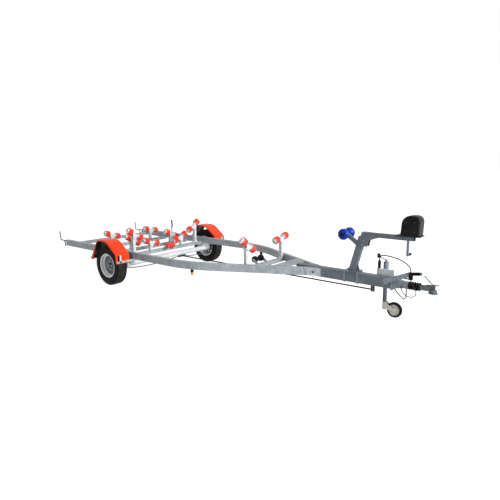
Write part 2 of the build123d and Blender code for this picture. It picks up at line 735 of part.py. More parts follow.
def winch_post():
    """Leaning post on its clamped base, with a brace in front and the sloping arm of the bow roller."""
    lean = radians(POST_LEAN_DEG)
    base_x = POST_FOOT_X
    base_top = DRAWBAR_TOP + PLATE_T
    base_half = POST_BASE_L / 2
    side = POST_BASE_W / 2
    shape = block(base_x - base_half, base_x + base_half, -side, side, DRAWBAR_TOP, base_top)
    arm_foot = ARM_Z - ARM_SIZE / 2
    half = WINCH_POST_L / 2 / cos(lean)
    rise = (arm_foot - base_top) * tan(lean)
    outline = [(base_x - half, base_top), (base_x + half, base_top),
               (base_x + half + rise, arm_foot), (base_x - half + rise, arm_foot)]
    shape += slab_y(outline, -WINCH_POST_W / 2, WINCH_POST_W / 2)
    brace_x = base_x + half
    brace_top = base_top + POST_BRACE_H
    brace = [(brace_x - POST_BRACE_SEAT, base_top), (brace_x + POST_BRACE_L, base_top),
             (brace_x + POST_BRACE_TOP, brace_top), (brace_x + POST_BRACE_H * tan(lean) - POST_BRACE_SEAT, brace_top)]
    shape += slab_y(brace, -POST_BRACE_T / 2, POST_BRACE_T / 2)
    root_x = base_x + (BOW_ARM_ROOT_Z - base_top) * tan(lean)
    span = Vector(BOW_X - root_x, 0, BOW_Z - BOW_ARM_ROOT_Z)
    square = Plane(origin=(root_x, 0, BOW_ARM_ROOT_Z), x_dir=(0, 1, 0), z_dir=span)
    shape += extrude(square * Rectangle(BOW_ARM_W, BOW_ARM_W), span.length)
    shape += drum_y(BOW_X, -BOW_EYE_HALF, BOW_EYE_HALF, BOW_Z, BOW_EYE_R)
    tip = BOW_EYE_HALF + BOW_SIDE_GAP + BOW_LOBE_W
    end = tip + BOW_SIDE_GAP + BOW_NUT_T
    shape += drum_y(BOW_X, -end, end, BOW_Z, BOW_ROD_R)
    for sign in (-1, 1):
        shape += drum_y(BOW_X, sign * (tip + BOW_SIDE_GAP), sign * end, BOW_Z, BOW_NUT_R)
    return shape


def bow_lobe(sign):
    """One soft lobe of the bow roller: a bell, narrow at the arm, wide outside, with a drawn-in face."""
    inner = BOW_EYE_HALF + BOW_SIDE_GAP
    bore = BOW_ROD_R + RUN_GAP
    swell = BOW_R - BOW_INNER_R
    # Bell from the neck to the face: share of the swell, share of the lobe's width
    bell = ((0.0, 0.0), (0.62, 0.2), (0.92, 0.44), (1.0, 0.62), (0.9, 0.84), (0.55, 1.0))
    outline = [(BOW_INNER_R + swell * out, inner + BOW_LOBE_W * along) for out, along in bell]
    solid = turned([(bore, inner)] + outline + [(bore, inner + BOW_LOBE_W)], BOW_X, 0, BOW_Z)
    return solid if sign > 0 else mirror(solid, Plane.XZ)


def winch_arm():
    """Level arm on the post's head, with two cheek plates that clamp the post and stiffen the corner."""
    half = ARM_SIZE / 2
    arm = block(ARM_REAR_X, ARM_FRONT_X, -half, half, ARM_Z - half, ARM_Z + half)
    arm = fillet(arm.edges().filter_by(Axis.X), ARM_EDGE_R)
    foot = ARM_Z - half
    low = foot - CHEEK_DROP
    slant = CHEEK_DROP * tan(radians(POST_LEAN_DEG))
    cheek = [(ARM_REAR_X, foot + ARM_SIZE), (ARM_REAR_X - CHEEK_REAR + slant / 2, foot - CHEEK_BEND),
             (ARM_REAR_X - CHEEK_REAR, low), (ARM_REAR_X + CHEEK_FRONT - slant / 2, low),
             (ARM_REAR_X + CHEEK_FRONT, foot - CHEEK_BEND), (ARM_REAR_X + CHEEK_REACH, foot),
             (ARM_REAR_X + CHEEK_REACH, foot + CHEEK_LAP), (ARM_REAR_X + CHEEK_FRONT, foot + ARM_SIZE)]
    for y0 in (-half - CHEEK_T, half):
        arm += slab_y(cheek, y0, y0 + CHEEK_T)
    return arm


def winch_cover():
    """Moulded dome over the winch drum and gears: sloping rear, round top and rounded shoulders."""
    foot = ARM_Z + ARM_SIZE / 2 + WINCH_BASE_T
    knee_z = foot + WINCH_KNEE
    flat_x = WINCH_FRONT_X - WINCH_FRONT_BULGE
    points = ((WINCH_REAR_X, foot), (WINCH_REAR_X + WINCH_REAR_LEAN, knee_z),
              (WINCH_REAR_X + WINCH_TOP_LEAN, WINCH_TOP), (flat_x, WINCH_TOP), (WINCH_FRONT_X, knee_z), (flat_x, foot))
    bends = [WINCH_REAR_KNEE_R, WINCH_REAR_TOP_R, WINCH_FRONT_TOP_R, WINCH_FRONT_KNEE_R]
    outline = FilletPolyline(*[(x, 0, z) for x, z in points], radius=bends)
    face = make_face(outline.edges() + [Line(outline @ 1, outline @ 0)])
    dome = extrude(Pos(0, -WINCH_W / 2, 0) * face, amount=WINCH_W, dir=(0, 1, 0))
    rims = [e for e in dome.edges() if abs(e.center().Y) > WINCH_W / 2 - 0.1]
    dome = fillet([e for e in rims if e.center().Z > foot + 0.1], WINCH_SHOULDER_R)
    return dome - drum_y(SHAFT_X, 0, WINCH_W, SHAFT_Z, SHAFT_R + RUN_GAP)


def winch_body():
    """Base plate of the winch."""
    foot = ARM_Z + ARM_SIZE / 2
    rear, front = WINCH_REAR_X + WINCH_BASE_INSET, WINCH_FRONT_X - WINCH_FRONT_BULGE
    return block(rear, front, -WINCH_W / 2, WINCH_W / 2, foot, foot + WINCH_BASE_T)


def winch_crank():
    """Crank on the left end of the winch shaft, hanging straight down, with its turning grip."""
    inner = WINCH_W / 2 + CRANK_GAP
    shape = drum_y(SHAFT_X, WINCH_W / 2 - 40, inner + CRANK_T + 8, SHAFT_Z, SHAFT_R)
    arm = block(SHAFT_X - CRANK_W / 2, SHAFT_X + CRANK_W / 2, inner, inner + CRANK_T, SHAFT_Z - CRANK_LENGTH, SHAFT_Z)
    shape += arm
    for z in (SHAFT_Z, SHAFT_Z - CRANK_LENGTH):
        shape += drum_y(SHAFT_X, inner, inner + CRANK_T, z, CRANK_W / 2)
    grip = drum_y(SHAFT_X, inner + CRANK_T, inner + CRANK_T + GRIP_L, SHAFT_Z - CRANK_LENGTH, GRIP_R)
    return shape + grip


def hitch_housing():
    """Cast overrun housing bolted to the drawbar's front end, tapering to a round nose, with the pull shaft."""
    half = HITCH_W / 2 + HITCH_FLANGE_RIM
    body_x = DRAWBAR_FRONT_X + HITCH_FLANGE_T
    nose_x = HITCH_FRONT_X - HITCH_NOSE_L
    rim = HITCH_FLANGE_RIM
    flange = block(DRAWBAR_FRONT_X, body_x, -half, half, DRAWBAR_BOTTOM - rim, DRAWBAR_TOP + rim)
    rear = Plane(origin=(body_x, 0, HITCH_Z), x_dir=(0, 1, 0), z_dir=(1, 0, 0))
    front = Plane(origin=(nose_x, 0, HITCH_Z), x_dir=(0, 1, 0), z_dir=(1, 0, 0))
    root = rear * RectangleRounded(HITCH_W, HITCH_ROOT_H, HITCH_EDGE_R)
    body = loft([root, front * RectangleRounded(HITCH_NOSE_R * 2, HITCH_NOSE_R * 2, HITCH_NOSE_EDGE_R)])
    nose = rod((nose_x, 0, HITCH_Z), (HITCH_FRONT_X, 0, HITCH_Z), HITCH_NOSE_R)
    shaft = rod((HITCH_FRONT_X, 0, HITCH_Z), (BELLOWS_FRONT_X + PULL_SHAFT_SEAT, 0, HITCH_Z), PULL_SHAFT_R)
    return flange + body + nose + shaft


def bellows():
    """Ribbed rubber sleeve between the housing's nose and the coupling."""
    length = BELLOWS_FRONT_X - HITCH_FRONT_X
    pitch = length / BELLOWS_FOLDS
    bore = PULL_SHAFT_R + SEAT_GAP
    valley = BELLOWS_R - BELLOWS_FOLD_DEPTH
    outline = [(bore, 0.0)]
    for fold in range(BELLOWS_FOLDS):
        start = fold * pitch
        outline += [(valley, start), (BELLOWS_R, start + pitch / 3), (BELLOWS_R, start + pitch * 2 / 3)]
    outline += [(valley, length), (bore, length)]
    face = make_face(Polyline(*[(r, a, 0) for r, a in outline], close=True))
    sleeve = revolve(face, Axis.Y)
    return Pos(HITCH_FRONT_X, 0, HITCH_Z) * Rot(0, 0, -90) * sleeve


def coupling_head():
    """Pressed coupling: a neck on the pull shaft and a domed cup that takes the tow ball from below."""
    seat_x = BELLOWS_FRONT_X + PULL_SHAFT_SEAT + SEAT_GAP
    neck = rod((BELLOWS_FRONT_X, 0, HITCH_Z), (BALL_X - HEAD_R / 2, 0, HITCH_Z), NECK_R)
    neck -= rod((BELLOWS_FRONT_X - 1, 0, HITCH_Z), (seat_x, 0, HITCH_Z), PULL_SHAFT_R + SEAT_GAP)
    dome_z = HEAD_FOOT_Z + SOCKET_DEPTH
    dome = Pos(BALL_X, 0, dome_z) * Sphere(HEAD_R, arc_size1=0)
    cup = rod((BALL_X, 0, HEAD_FOOT_Z), (BALL_X, 0, dome_z), HEAD_R) + dome
    lip = rod((BALL_X, 0, HEAD_FOOT_Z), (BALL_X, 0, HEAD_FOOT_Z + HEAD_LIP), HEAD_R + HEAD_LIP)
    front = BALL_X + SADDLE_AHEAD
    half = SADDLE_W / 2
    ridge = block(front - SADDLE_L, front, -half, half, HITCH_Z, HITCH_Z + SADDLE_H)
    saddle = fillet(ridge.edges().filter_by(Axis.X), SADDLE_EDGE_R)
    socket = rod((BALL_X, 0, HEAD_FOOT_Z - 1), (BALL_X, 0, dome_z), BALL_R) + Pos(BALL_X, 0, dome_z) * Sphere(BALL_R)
    return neck + cup + lip + saddle - socket


def coupling_handle():
    """Bent flat lever on the coupling's back: short toe in front, long grip rising to the rear."""
    saddle_top = HITCH_Z + SADDLE_H
    bend_x = BALL_X - HANDLE_TOE
    slope = atan2(HANDLE_RISE, HANDLE_RUN)
    under_x, under_z = HANDLE_GRIP_T * sin(slope), HANDLE_GRIP_T * cos(slope)
    tip_x, tip_z = bend_x - HANDLE_RUN, saddle_top + HANDLE_RISE
    outline = [(FRONT_END_X, saddle_top), (FRONT_END_X, saddle_top + HANDLE_T), (bend_x, saddle_top + HANDLE_T),
               (tip_x, tip_z), (tip_x - under_x, tip_z - under_z), (bend_x - HANDLE_GRIP_T, saddle_top)]
    return slab_y(outline, -HANDLE_W / 2, HANDLE_W / 2)


def handbrake_lever():
    """Parking brake lever on the housing's side with its grip and the lock piece under the grip."""
    y0, y1 = LEVER_Y - LEVER_T / 2, LEVER_Y + LEVER_T / 2
    run = Vector(LEVER_END_X - LEVER_PIVOT_X, LEVER_END_Z - LEVER_PIVOT_Z)
    side = Vector(-run.Y, run.X).normalized() * (LEVER_W / 2)
    outline = [(LEVER_PIVOT_X - side.X, LEVER_PIVOT_Z - side.Y), (LEVER_END_X - side.X, LEVER_END_Z - side.Y),
               (LEVER_END_X + side.X, LEVER_END_Z + side.Y), (LEVER_PIVOT_X + side.X, LEVER_PIVOT_Z + side.Y)]
    shape = slab_y(outline, y0, y1)
    shape += drum_y(LEVER_PIVOT_X, y0, y1, LEVER_PIVOT_Z, LEVER_W / 2 + LEVER_EYE_RIM)
    shape += drum_y(LEVER_PIVOT_X, y1, -DRAWBAR_W / 2, LEVER_PIVOT_Z, LEVER_W / 2)
    grip_end = (LEVER_END_X + LEVER_GRIP_L, LEVER_Y, LEVER_END_Z + LEVER_GRIP_RISE)
    shape += rod((LEVER_END_X - LEVER_GRIP_SEAT, LEVER_Y, LEVER_END_Z), grip_end, LEVER_GRIP_R)
    lock = block(LEVER_END_X - LOCK_HALF, LEVER_END_X + LOCK_HALF, y0 - LOCK_RIM, y1 + LOCK_RIM,
                 LEVER_END_Z - LOCK_H, LEVER_END_Z)
    return shape + lock


def leg_clamp():
    """Clamp plate on the drawbar's left side with the collar that holds the support leg's tube."""
    side = DRAWBAR_W / 2
    foot = CLAMP_TOP - CLAMP_H
    rear = LEG_X - CLAMP_REAR
    plate = block(rear, rear + CLAMP_L, side, side + PLATE_T, foot, CLAMP_TOP)
    ledge = block(PLUG_X - PLUG_R, PLUG_X + PLUG_R, PLUG_Y - PLUG_R, PLUG_Y + PLUG_R, CLAMP_TOP - PLATE_T, CLAMP_TOP)
    low, high = foot + COLLAR_INSET, CLAMP_TOP - COLLAR_INSET
    collar = rod((LEG_X, LEG_Y, low), (LEG_X, LEG_Y, high), LEG_TUBE_R + COLLAR_WALL)
    web = block(LEG_X - CLAMP_WEB / 2, LEG_X + CLAMP_WEB / 2, side, LEG_Y, low, high)
    bore = rod((LEG_X, LEG_Y, foot), (LEG_X, LEG_Y, CLAMP_TOP), LEG_TUBE_R + SEAT_GAP)
    bolt_y = LEG_Y + LEG_TUBE_R + COLLAR_WALL / 2
    bolt_z = CLAMP_TOP - CLAMP_H / 2
    bar_y = bolt_y + CLAMP_BOLT_L
    bolt = rod((LEG_X, bolt_y, bolt_z), (LEG_X, bar_y, bolt_z), CLAMP_BOLT_R)
    toggle = rod((LEG_X - TOGGLE_L / 2, bar_y, bolt_z), (LEG_X + TOGGLE_L / 2, bar_y, bolt_z), TOGGLE_R)
    return plate + ledge + collar + web - bore + bolt + toggle


def leg_tube():
    """Fixed outer tube of the support leg with its head and the crank that winds the leg."""
    tube = rod((LEG_X, LEG_Y, LEG_TUBE_FOOT), (LEG_X, LEG_Y, LEG_TUBE_TOP), LEG_TUBE_R)
    bore_top = LEG_TUBE_TOP - LEG_TOP_ROOM
    tube -= rod((LEG_X, LEG_Y, LEG_TUBE_FOOT - 1), (LEG_X, LEG_Y, bore_top), LEG_R + RUN_GAP)
    head_z = LEG_TUBE_TOP + LEG_HEAD_H
    head = rod((LEG_X, LEG_Y, LEG_TUBE_TOP), (LEG_X, LEG_Y, head_z), LEG_HEAD_R)
    knob_x = LEG_X - CRANK_REACH
    rod_z = head_z - CRANK_ROD_R
    reach = rod((LEG_X, LEG_Y, rod_z), (knob_x, LEG_Y, rod_z + CRANK_RISE), CRANK_ROD_R)
    knob_z = rod_z + CRANK_RISE - 2 * CRANK_ROD_R
    knob = rod((knob_x, LEG_Y, knob_z), (knob_x, LEG_Y, knob_z + CRANK_KNOB_H), CRANK_KNOB_R)
    return tube + head + reach + knob


def support_leg():
    """Sliding inner tube of the support leg."""
    return rod((LEG_X, LEG_Y, LEG_FOOT_Z), (LEG_X, LEG_Y, LEG_TOP_Z), LEG_R)


def castor_fork():
    """Swivelling stem below the leg with two side plates that reach forward to the wheel's axle."""
    shape = rod((LEG_X, LEG_Y, STEM_FOOT_Z), (LEG_X, LEG_Y, LEG_FOOT_Z - STEM_GAP), LEG_R)
    axle_x = LEG_X + SUPPORT_TRAIL
    inner = SUPPORT_W / 2 + FORK_GAP
    outer = inner + FORK_T
    nose = FORK_SHOULDER
    plate = [(LEG_X - FORK_REAR, FORK_HEAD_Z), (LEG_X + nose, FORK_HEAD_Z + nose),
             (axle_x + nose / 2, SUPPORT_R + nose), (axle_x + nose, SUPPORT_R),
             (axle_x + nose / 2, SUPPORT_R - nose), (LEG_X - FORK_REAR, FORK_FOOT_Z)]
    for y0 in (LEG_Y - outer, LEG_Y + inner):
        shape += slab_y(plate, y0, y0 + FORK_T)
    shape += block(LEG_X - FORK_REAR, LEG_X + FORK_REAR / 2, LEG_Y - outer, LEG_Y + outer, FORK_FOOT_Z, FORK_HEAD_Z)
    end = outer + FORK_AXLE_END
    return shape + drum_y(axle_x, LEG_Y - end, LEG_Y + end, SUPPORT_R, SUPPORT_AXLE_R)


def support_wheel():
    """Small solid-tyred wheel with a dished hub, bored for its axle."""
    half = SUPPORT_W / 2
    edge = SUPPORT_EDGE
    floor = half - SUPPORT_DISH
    flank = [(SUPPORT_AXLE_R + RUN_GAP, half), (SUPPORT_HUB_R, half), (SUPPORT_HUB_R + edge / 3, floor),
             (FELLOE_R, floor), (FELLOE_R + edge / 4, half - edge / 3), (SUPPORT_R - edge, half - edge / 6),
             (SUPPORT_R - edge / 4, half - edge * 5 / 6), (SUPPORT_R, half - edge * 4 / 3)]
    profile = [(r, -a) for r, a in flank] + list(reversed(flank))
    return turned(profile, LEG_X + SUPPORT_TRAIL, LEG_Y, SUPPORT_R)


def swept_tube(points, radii, radius):
    """A round tube along straight runs joined by tangent arcs."""
    path = FilletPolyline(*points, radius=radii)
    section = Plane(origin=path @ 0, z_dir=path % 0) * Circle(radius)
    return sweep(section, path=path)


def corner_radii(points, share=0.45):
    """Largest arc radius at each inner point that its two runs leave room for."""
    radii = []
    for a, b, c in zip(points, points[1:], points[2:]):
        run_in = Vector(*b) - Vector(*a)
        run_out = Vector(*c) - Vector(*b)
        half_turn = radians(run_in.get_angle(run_out)) / 2
        radii.append(share * min(run_in.length, run_out.length) / tan(half_turn))
    return radii


def brake_linkage():
    """Pull rod under the frame, its relay lever and equaliser, and the two sheathed cables to the backplates."""
    lever_foot = ROD_Z - RELAY_L / 2
    relay = block(RELAY_X - RELAY_L / 2, RELAY_X + RELAY_L / 2, -RELAY_W / 2, RELAY_W / 2, lever_foot, DRAWBAR_BOTTOM)
    pull = rod((EQUALISER_X, 0, ROD_Z), (RELAY_X, 0, ROD_Z), BRAKE_ROD_R)
    half_t, half_w, half_h = EQUALISER_T / 2, EQUALISER_W / 2, EQUALISER_H / 2
    equaliser = block(EQUALISER_X - half_t, EQUALISER_X + half_t, -half_w, half_w, ROD_Z - half_h, ROD_Z + half_h)
    beam_x, beam_z, beam_w, beam_h = BEAM_ROWS[4]
    hanger = block(beam_x - half_t, beam_x + half_t, -ROD_EYE, ROD_EYE, ROD_Z - ROD_EYE, beam_z - beam_h / 2)
    solids = [relay + pull + equaliser + hanger]
    y_end = RAIL_OUT_Y + ARM_GAP + ARM_T
    y_start = half_w - CABLE_INSET
    low = ROD_Z - CABLE_DROP
    # Cable from the equaliser: ahead of the axle's tube, under the rail and square on to the backplate
    points = [(EQUALISER_X - half_t - SEAT_GAP, y_start, ROD_Z), (EQUALISER_X - 80, y_start + 60, ROD_Z - 30),
              (BEAM_X + 140, RAIL_OUT_Y - 490, low + 16), (BEAM_X + 112, RAIL_OUT_Y - 260, low + 8),
              (BEAM_X + 50, RAIL_OUT_Y - 80, low + 2), (CABLE_END_X, y_end - 48, low),
              (CABLE_END_X, y_end - SEAT_GAP, low)]
    cable = swept_tube(points, corner_radii(points), CABLE_R)
    return solids + both_sides(cable)


def side_markers():
    """Amber side lamps hanging below the rails near the bend."""
    y = rail_plan_y(MARKER_X, 0)
    half_x, half_y, size_z = MARKER_SIZE[0] / 2, MARKER_SIZE[1] / 2, MARKER_SIZE[2]
    lamp = block(MARKER_X - half_x, MARKER_X + half_x, y - half_y, y + half_y, RAIL_BOTTOM - size_z, RAIL_BOTTOM)
    return both_sides(fillet(lamp.edges().filter_by(Axis.Z), MARKER_EDGE_R))


def bent_bar(points, radius):
    """A bar bent through a few points, with ball-shaped corners."""
    shape = rod(points[0], points[1], radius)
    for a, b in zip(points[1:], points[2:]):
        shape += Pos(*a) * Sphere(radius)
        shape += rod(a, b, radius)
    return shape


def clamp_handles():
    """Bent clamp handles: one screwed into each rail's rear end and one standing on the left rail."""
    r = HANDLE_ROD_R
    y = RAIL_MID_Y
    z = RAIL_Z + SPINDLE_LIFT
    spindle = rod((RAIL_REAR_X, y, z), (RAIL_REAR_X - SPINDLE_L, y, z), r)
    top_x = REAR_END_X + r
    low_x = RAIL_REAR_X - SPINDLE_L + HANDLE_CRANK
    bar = bent_bar(((top_x, y, z + HANDLE_UP), (top_x + HANDLE_LEAN, y, z), (low_x - HANDLE_CRANK, y, z),
                    (low_x, y, z - HANDLE_DOWN)), r)
    foot, knee, top = [RAIL_TOP + rise for rise in UPRIGHT_RISES]
    upright = bent_bar(((UPRIGHT_X, y, RAIL_TOP), (UPRIGHT_X, y, foot), (UPRIGHT_X + HANDLE_CRANK, y, knee),
                        (UPRIGHT_X, y, top)), r)
    return both_sides(spindle + bar) + [upright]


def cable_hanger():
    """Bent rod under the hitch in a narrow V."""
    rear_x = DRAWBAR_FRONT_X + HITCH_FLANGE_T + HANGER_SET
    front_x = HITCH_FRONT_X - HANGER_FRONT
    knee, tip, rise = HANGER_HEIGHTS
    points = [(rear_x, 0, HITCH_Z - HITCH_ROOT_H / 2 - SEAT_GAP), (rear_x, 0, knee),
              (front_x - HANGER_TIP_BACK, 0, tip), (front_x, 0, rise),
              (front_x, 0, HITCH_Z - HITCH_NOSE_R - SEAT_GAP)]
    path = FilletPolyline(*points, radius=list(HANGER_BENDS))
    start = Plane(origin=path @ 0, z_dir=path % 0)
    return sweep(start * Circle(HANGER_R), path=path)


# Route of the lamp cable, from the brake lever's grip over to the plug's top
LAMP_CABLE = [(4072, -80, 596.5), (4072, -80, 620), (4050, -76, 656), (4006, -66, 686), (3946, -50, 706),
              (3884, -28, 716), (3826, -6, 720), (3774, 16, 720),
              (3728, 36, 717), (3691, 51, 711), (PLUG_X, PLUG_Y, 690), (PLUG_X, PLUG_Y, PLUG_TOP + SEAT_GAP)]
# Route of the breakaway cable, from the lock piece round in front of the bellows to the housing's side
BREAKAWAY = [(4078, -80, 515.8), (4078, -80, 496), (4098, -88, 464), (4134, -95, 424), (4144, -95, 382),
             (4128, -93, 348), (4092, -91, 330), (4050, -89, 332), (4012, -87, 352), (3986, -85, 384),
             (3972, -78, 410), (3968, -64, 424), (3968, -43, 424)]


def plug():
    """Seven-pin plug parked upright on the clamp plate's ledge."""
    neck_z = PLUG_TOP - PLUG_NECK_L
    body = rod((PLUG_X, PLUG_Y, CLAMP_TOP), (PLUG_X, PLUG_Y, neck_z), PLUG_R)
    return body + rod((PLUG_X, PLUG_Y, neck_z), (PLUG_X, PLUG_Y, PLUG_TOP), PLUG_NECK_R)


def free_cord(points, radius):
    """A limp cable along its route, and its arcs' radii."""
    radii = corner_radii(points)
    print("cord radii", [round(value, 1) for value in radii])
    return swept_tube(points, radii, radius)


left_rail = side_rail()
keep("rail_left", left_rail)
keep("rail_right", mirror(left_rail, Plane.XZ))
keep("drawbar", drawbar())
keep("drawbar_gussets", drawbar_gussets())
keep("axle_beam", torsion_axle())
for side, word in ((1, "left"), (-1, "right")):
    keep(f"tyre_{word}", tyre(side))
    keep(f"rim_{word}", wheel_rim(side))
left_guard = mudguard()
keep("mudguard_left", left_guard)
keep("mudguard_right", mirror(left_guard, Plane.XZ))
keep("mudguard_brackets", mudguard_brackets())

keep("cross_beams", cross_beams())
keel_brackets = []
for (name, x, z, half, end_r, waist_r), beam in zip(KEEL_ROWS, (BEAM_ROWS[4], BEAM_ROWS[3])):
    keel_brackets.append(keel_bracket(x, z, half, *beam[:3]))
    keep(f"keel_roller_{name}", keel_roller(x, z, half, end_r, waist_r))
keep("keel_brackets", keel_brackets)
keep("roller_posts", [roller_post(x, y, z) for name, x, y, z, tilt in STANDS])
for name, x, y, z, tilt in STANDS:
    keep(f"rocker_{name}", rocker(x, y, z, tilt))
    keep(f"rollers_{name}", roller_pair(x, y, z, tilt))

keep("winch_post", winch_post())
keep("bow_roller", [bow_lobe(1), bow_lobe(-1)])
keep("winch_arm", winch_arm())
keep("winch_base", winch_body())
keep("winch_cover", winch_cover())
keep("winch_crank", winch_crank())

keep("hitch_housing", hitch_housing())
keep("bellows", bellows())
keep("coupling_head", coupling_head())
keep("coupling_handle", coupling_handle())
keep("handbrake_lever", handbrake_lever())
keep("leg_clamp", leg_clamp())
keep("leg_tube", leg_tube())
keep("support_leg", support_leg())
keep("castor_fork", castor_fork())
keep("support_wheel", support_wheel())
keep("brake_linkage", brake_linkage())
keep("side_markers", side_markers())
keep("clamp_handles", clamp_handles())
keep("cable_hanger", cable_hanger())
keep("lamp_cable", free_cord(LAMP_CABLE, CORD_R))
keep("breakaway_cable", free_cord(BREAKAWAY, BREAKAWAY_R))
keep("plug", plug())

os.makedirs("parts", exist_ok=True)
for name, shape in NODES.items():
    solids = shape if isinstance(shape, list) else [shape]
    placed = [Pos(SHIFT_X, 0, 0) * solid for solid in solids]
    export_step(placed[0] if len(placed) == 1 else Compound(children=placed), f"parts/{name}.step")
print(len(NODES), "nodes, shift", SHIFT_X)
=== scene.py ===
import json
from math import cos, pi, radians, sin

import bmesh
import bpy
import numpy as np
from mathutils import Matrix, Vector


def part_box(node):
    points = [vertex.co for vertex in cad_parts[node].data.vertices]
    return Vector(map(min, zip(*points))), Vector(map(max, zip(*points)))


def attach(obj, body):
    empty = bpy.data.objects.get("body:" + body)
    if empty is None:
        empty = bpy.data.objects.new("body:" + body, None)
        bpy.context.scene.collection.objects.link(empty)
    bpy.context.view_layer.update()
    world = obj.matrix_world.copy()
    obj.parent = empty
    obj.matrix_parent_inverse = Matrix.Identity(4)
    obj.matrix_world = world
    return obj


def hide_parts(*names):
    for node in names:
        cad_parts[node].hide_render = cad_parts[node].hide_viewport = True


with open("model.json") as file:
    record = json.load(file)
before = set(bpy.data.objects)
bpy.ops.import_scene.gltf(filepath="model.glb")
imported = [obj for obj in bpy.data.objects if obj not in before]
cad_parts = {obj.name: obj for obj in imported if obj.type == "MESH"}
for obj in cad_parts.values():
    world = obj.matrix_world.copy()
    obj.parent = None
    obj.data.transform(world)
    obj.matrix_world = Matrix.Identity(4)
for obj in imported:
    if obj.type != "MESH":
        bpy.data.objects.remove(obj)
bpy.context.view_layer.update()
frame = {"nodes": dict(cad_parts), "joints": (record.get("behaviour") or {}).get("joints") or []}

# Frame: rails, front arms, cross-beams, gussets and drawbar, with the welds that join them.
# Welded box section, hot-dip galvanised after welding, so the zinc runs over every edge
# and dries to a mottled blue-grey with a faint crystal pattern, dullest on the drawbar.


class Flow:
    """A shader socket in an expression: arithmetic on it adds Math nodes to the same tree."""

    def __init__(self, tree, socket=None):
        self.tree = tree
        self.socket = socket

    def plug(self, socket, value):
        """Links a socket to a value of the tree, or sets it; a colour is given without its alpha."""
        if isinstance(value, Flow):
            self.tree.links.new(value.socket, socket)
        elif socket.type == "RGBA":
            socket.default_value = (*value, 1.0)
        else:
            socket.default_value = value

    def node(self, kind, values, settings=None, output=0):
        """Adds any node: settings first (a ramp's stops too), then the values or links of its sockets."""
        made = self.tree.nodes.new(kind)
        for key, value in (settings or {}).items():
            if key == "stops":
                for element, (place, grey) in zip(made.color_ramp.elements, value):
                    element.position = place
                    element.color = (grey, grey, grey, 1.0)
            else:
                setattr(made, key, value)
        for key, value in values.items():
            self.plug(made.inputs[key], value)
        return Flow(self.tree, made.outputs[output])

    def math(self, operation, first, second):
        """A Math node on two values."""
        return self.node("ShaderNodeMath", {0: first, 1: second}, {"operation": operation})

    def __add__(self, other):
        return self.math("ADD", self, other)

    def __sub__(self, other):
        return self.math("SUBTRACT", self, other)

    def __rsub__(self, other):
        return self.math("SUBTRACT", other, self)

    def __mul__(self, other):
        return self.math("MULTIPLY", self, other)

    __radd__ = __add__
    __rmul__ = __mul__

    def steps(self, low, high):
        """A ramp that rises from nought at the low value to one at the high value."""
        return self.node("ShaderNodeValToRGB", {"Fac": self}, {"stops": ((low, 0.0), (high, 1.0))})

    def tint(self, low, high):
        """A colour between two colours by this value."""
        return self.node("ShaderNodeMix", {0: self, 6: low, 7: high}, {"data_type": "RGBA"}, output=2)

    def noise(self, scale, detail=3.0):
        """Cloudy noise on these coordinates."""
        return self.node("ShaderNodeTexNoise", {"Vector": self, "Scale": scale, "Detail": detail})

    def stretched(self, x, y, z):
        """Coordinates drawn out along the axes, for streaks and scratches."""
        return self.node("ShaderNodeMapping", {"Vector": self, "Scale": (x, y, z)})

    def bump(self, distance, strength=1.0):
        """Surface relief with this value as its height."""
        values = {"Height": self, "Distance": distance, "Strength": strength}
        return self.node("ShaderNodeBump", values, output="Normal")


def finish(name, recipe, **fixed):
    """A material: the recipe turns Object coordinates into the sockets that vary over the surface,
    and the fixed sockets keep one value."""
    material = bpy.data.materials.new(name)
    material.use_nodes = True
    tree = material.node_tree
    shader = tree.nodes["Principled BSDF"]
    place = Flow(tree).node("ShaderNodeTexCoord", {}, output="Object")
    for socket, value in {**fixed, **recipe(place)}.items():
        place.plug(shader.inputs[socket.replace("_", " ")], value)
    return material


def dress(material, *nodes):
    """Gives CAD nodes their finish."""
    for node in nodes:
        slots = frame["nodes"][node].data.materials
        slots.clear()
        slots.append(material)


def zinc(dark, light):
    """Recipe of dull zinc: crystal cells and cloudy mottling between two colours, with run marks."""
    def recipe(place):
        cells = place.node("ShaderNodeTexVoronoi", {"Vector": place, "Scale": 38.0}, output="Color")
        crystal = cells.node("ShaderNodeSeparateColor", {"Color": cells})
        cloud = place.noise(5.0, 5.0)
        runs = place.stretched(9.0, 9.0, 1.5).noise(4.0)
        shade = 0.30 * crystal + 0.85 * cloud + 0.40 * runs - 0.32
        return {
            "Base Color": shade.tint(dark, light),
            "Roughness": 0.38 + 0.22 * cloud,
            "Normal": (place.noise(90.0) + 0.5 * crystal).bump(0.0006, 0.5),
        }
    return recipe


galvanised = finish("galvanised", zinc((0.17, 0.205, 0.235), (0.50, 0.545, 0.56)), Metallic=0.2)
dull_zinc = finish("dull_zinc", zinc((0.060, 0.078, 0.098), (0.185, 0.222, 0.255)), Metallic=0.2)
dress(galvanised, "rail_left", "rail_right", "drawbar_gussets", "cross_beams", "keel_brackets")
dress(galvanised, "mudguard_brackets")
dress(dull_zinc, "drawbar")

MERGE_DISTANCE = 1e-6
FORWARD = (1, 0, 0)
BACK = (-1, 0, 0)
LEFT = (0, 1, 0)
RIGHT = (0, -1, 0)
UP = (0, 0, 1)
AXLE_X = next(joint["pos_m"][0] for joint in frame["joints"] if joint["name"] == "spin_left")


def at(x, y, z):
    """A place on the trailer: x is measured forwards from the wheel axis."""
    return np.array((AXLE_X + x, y, z))


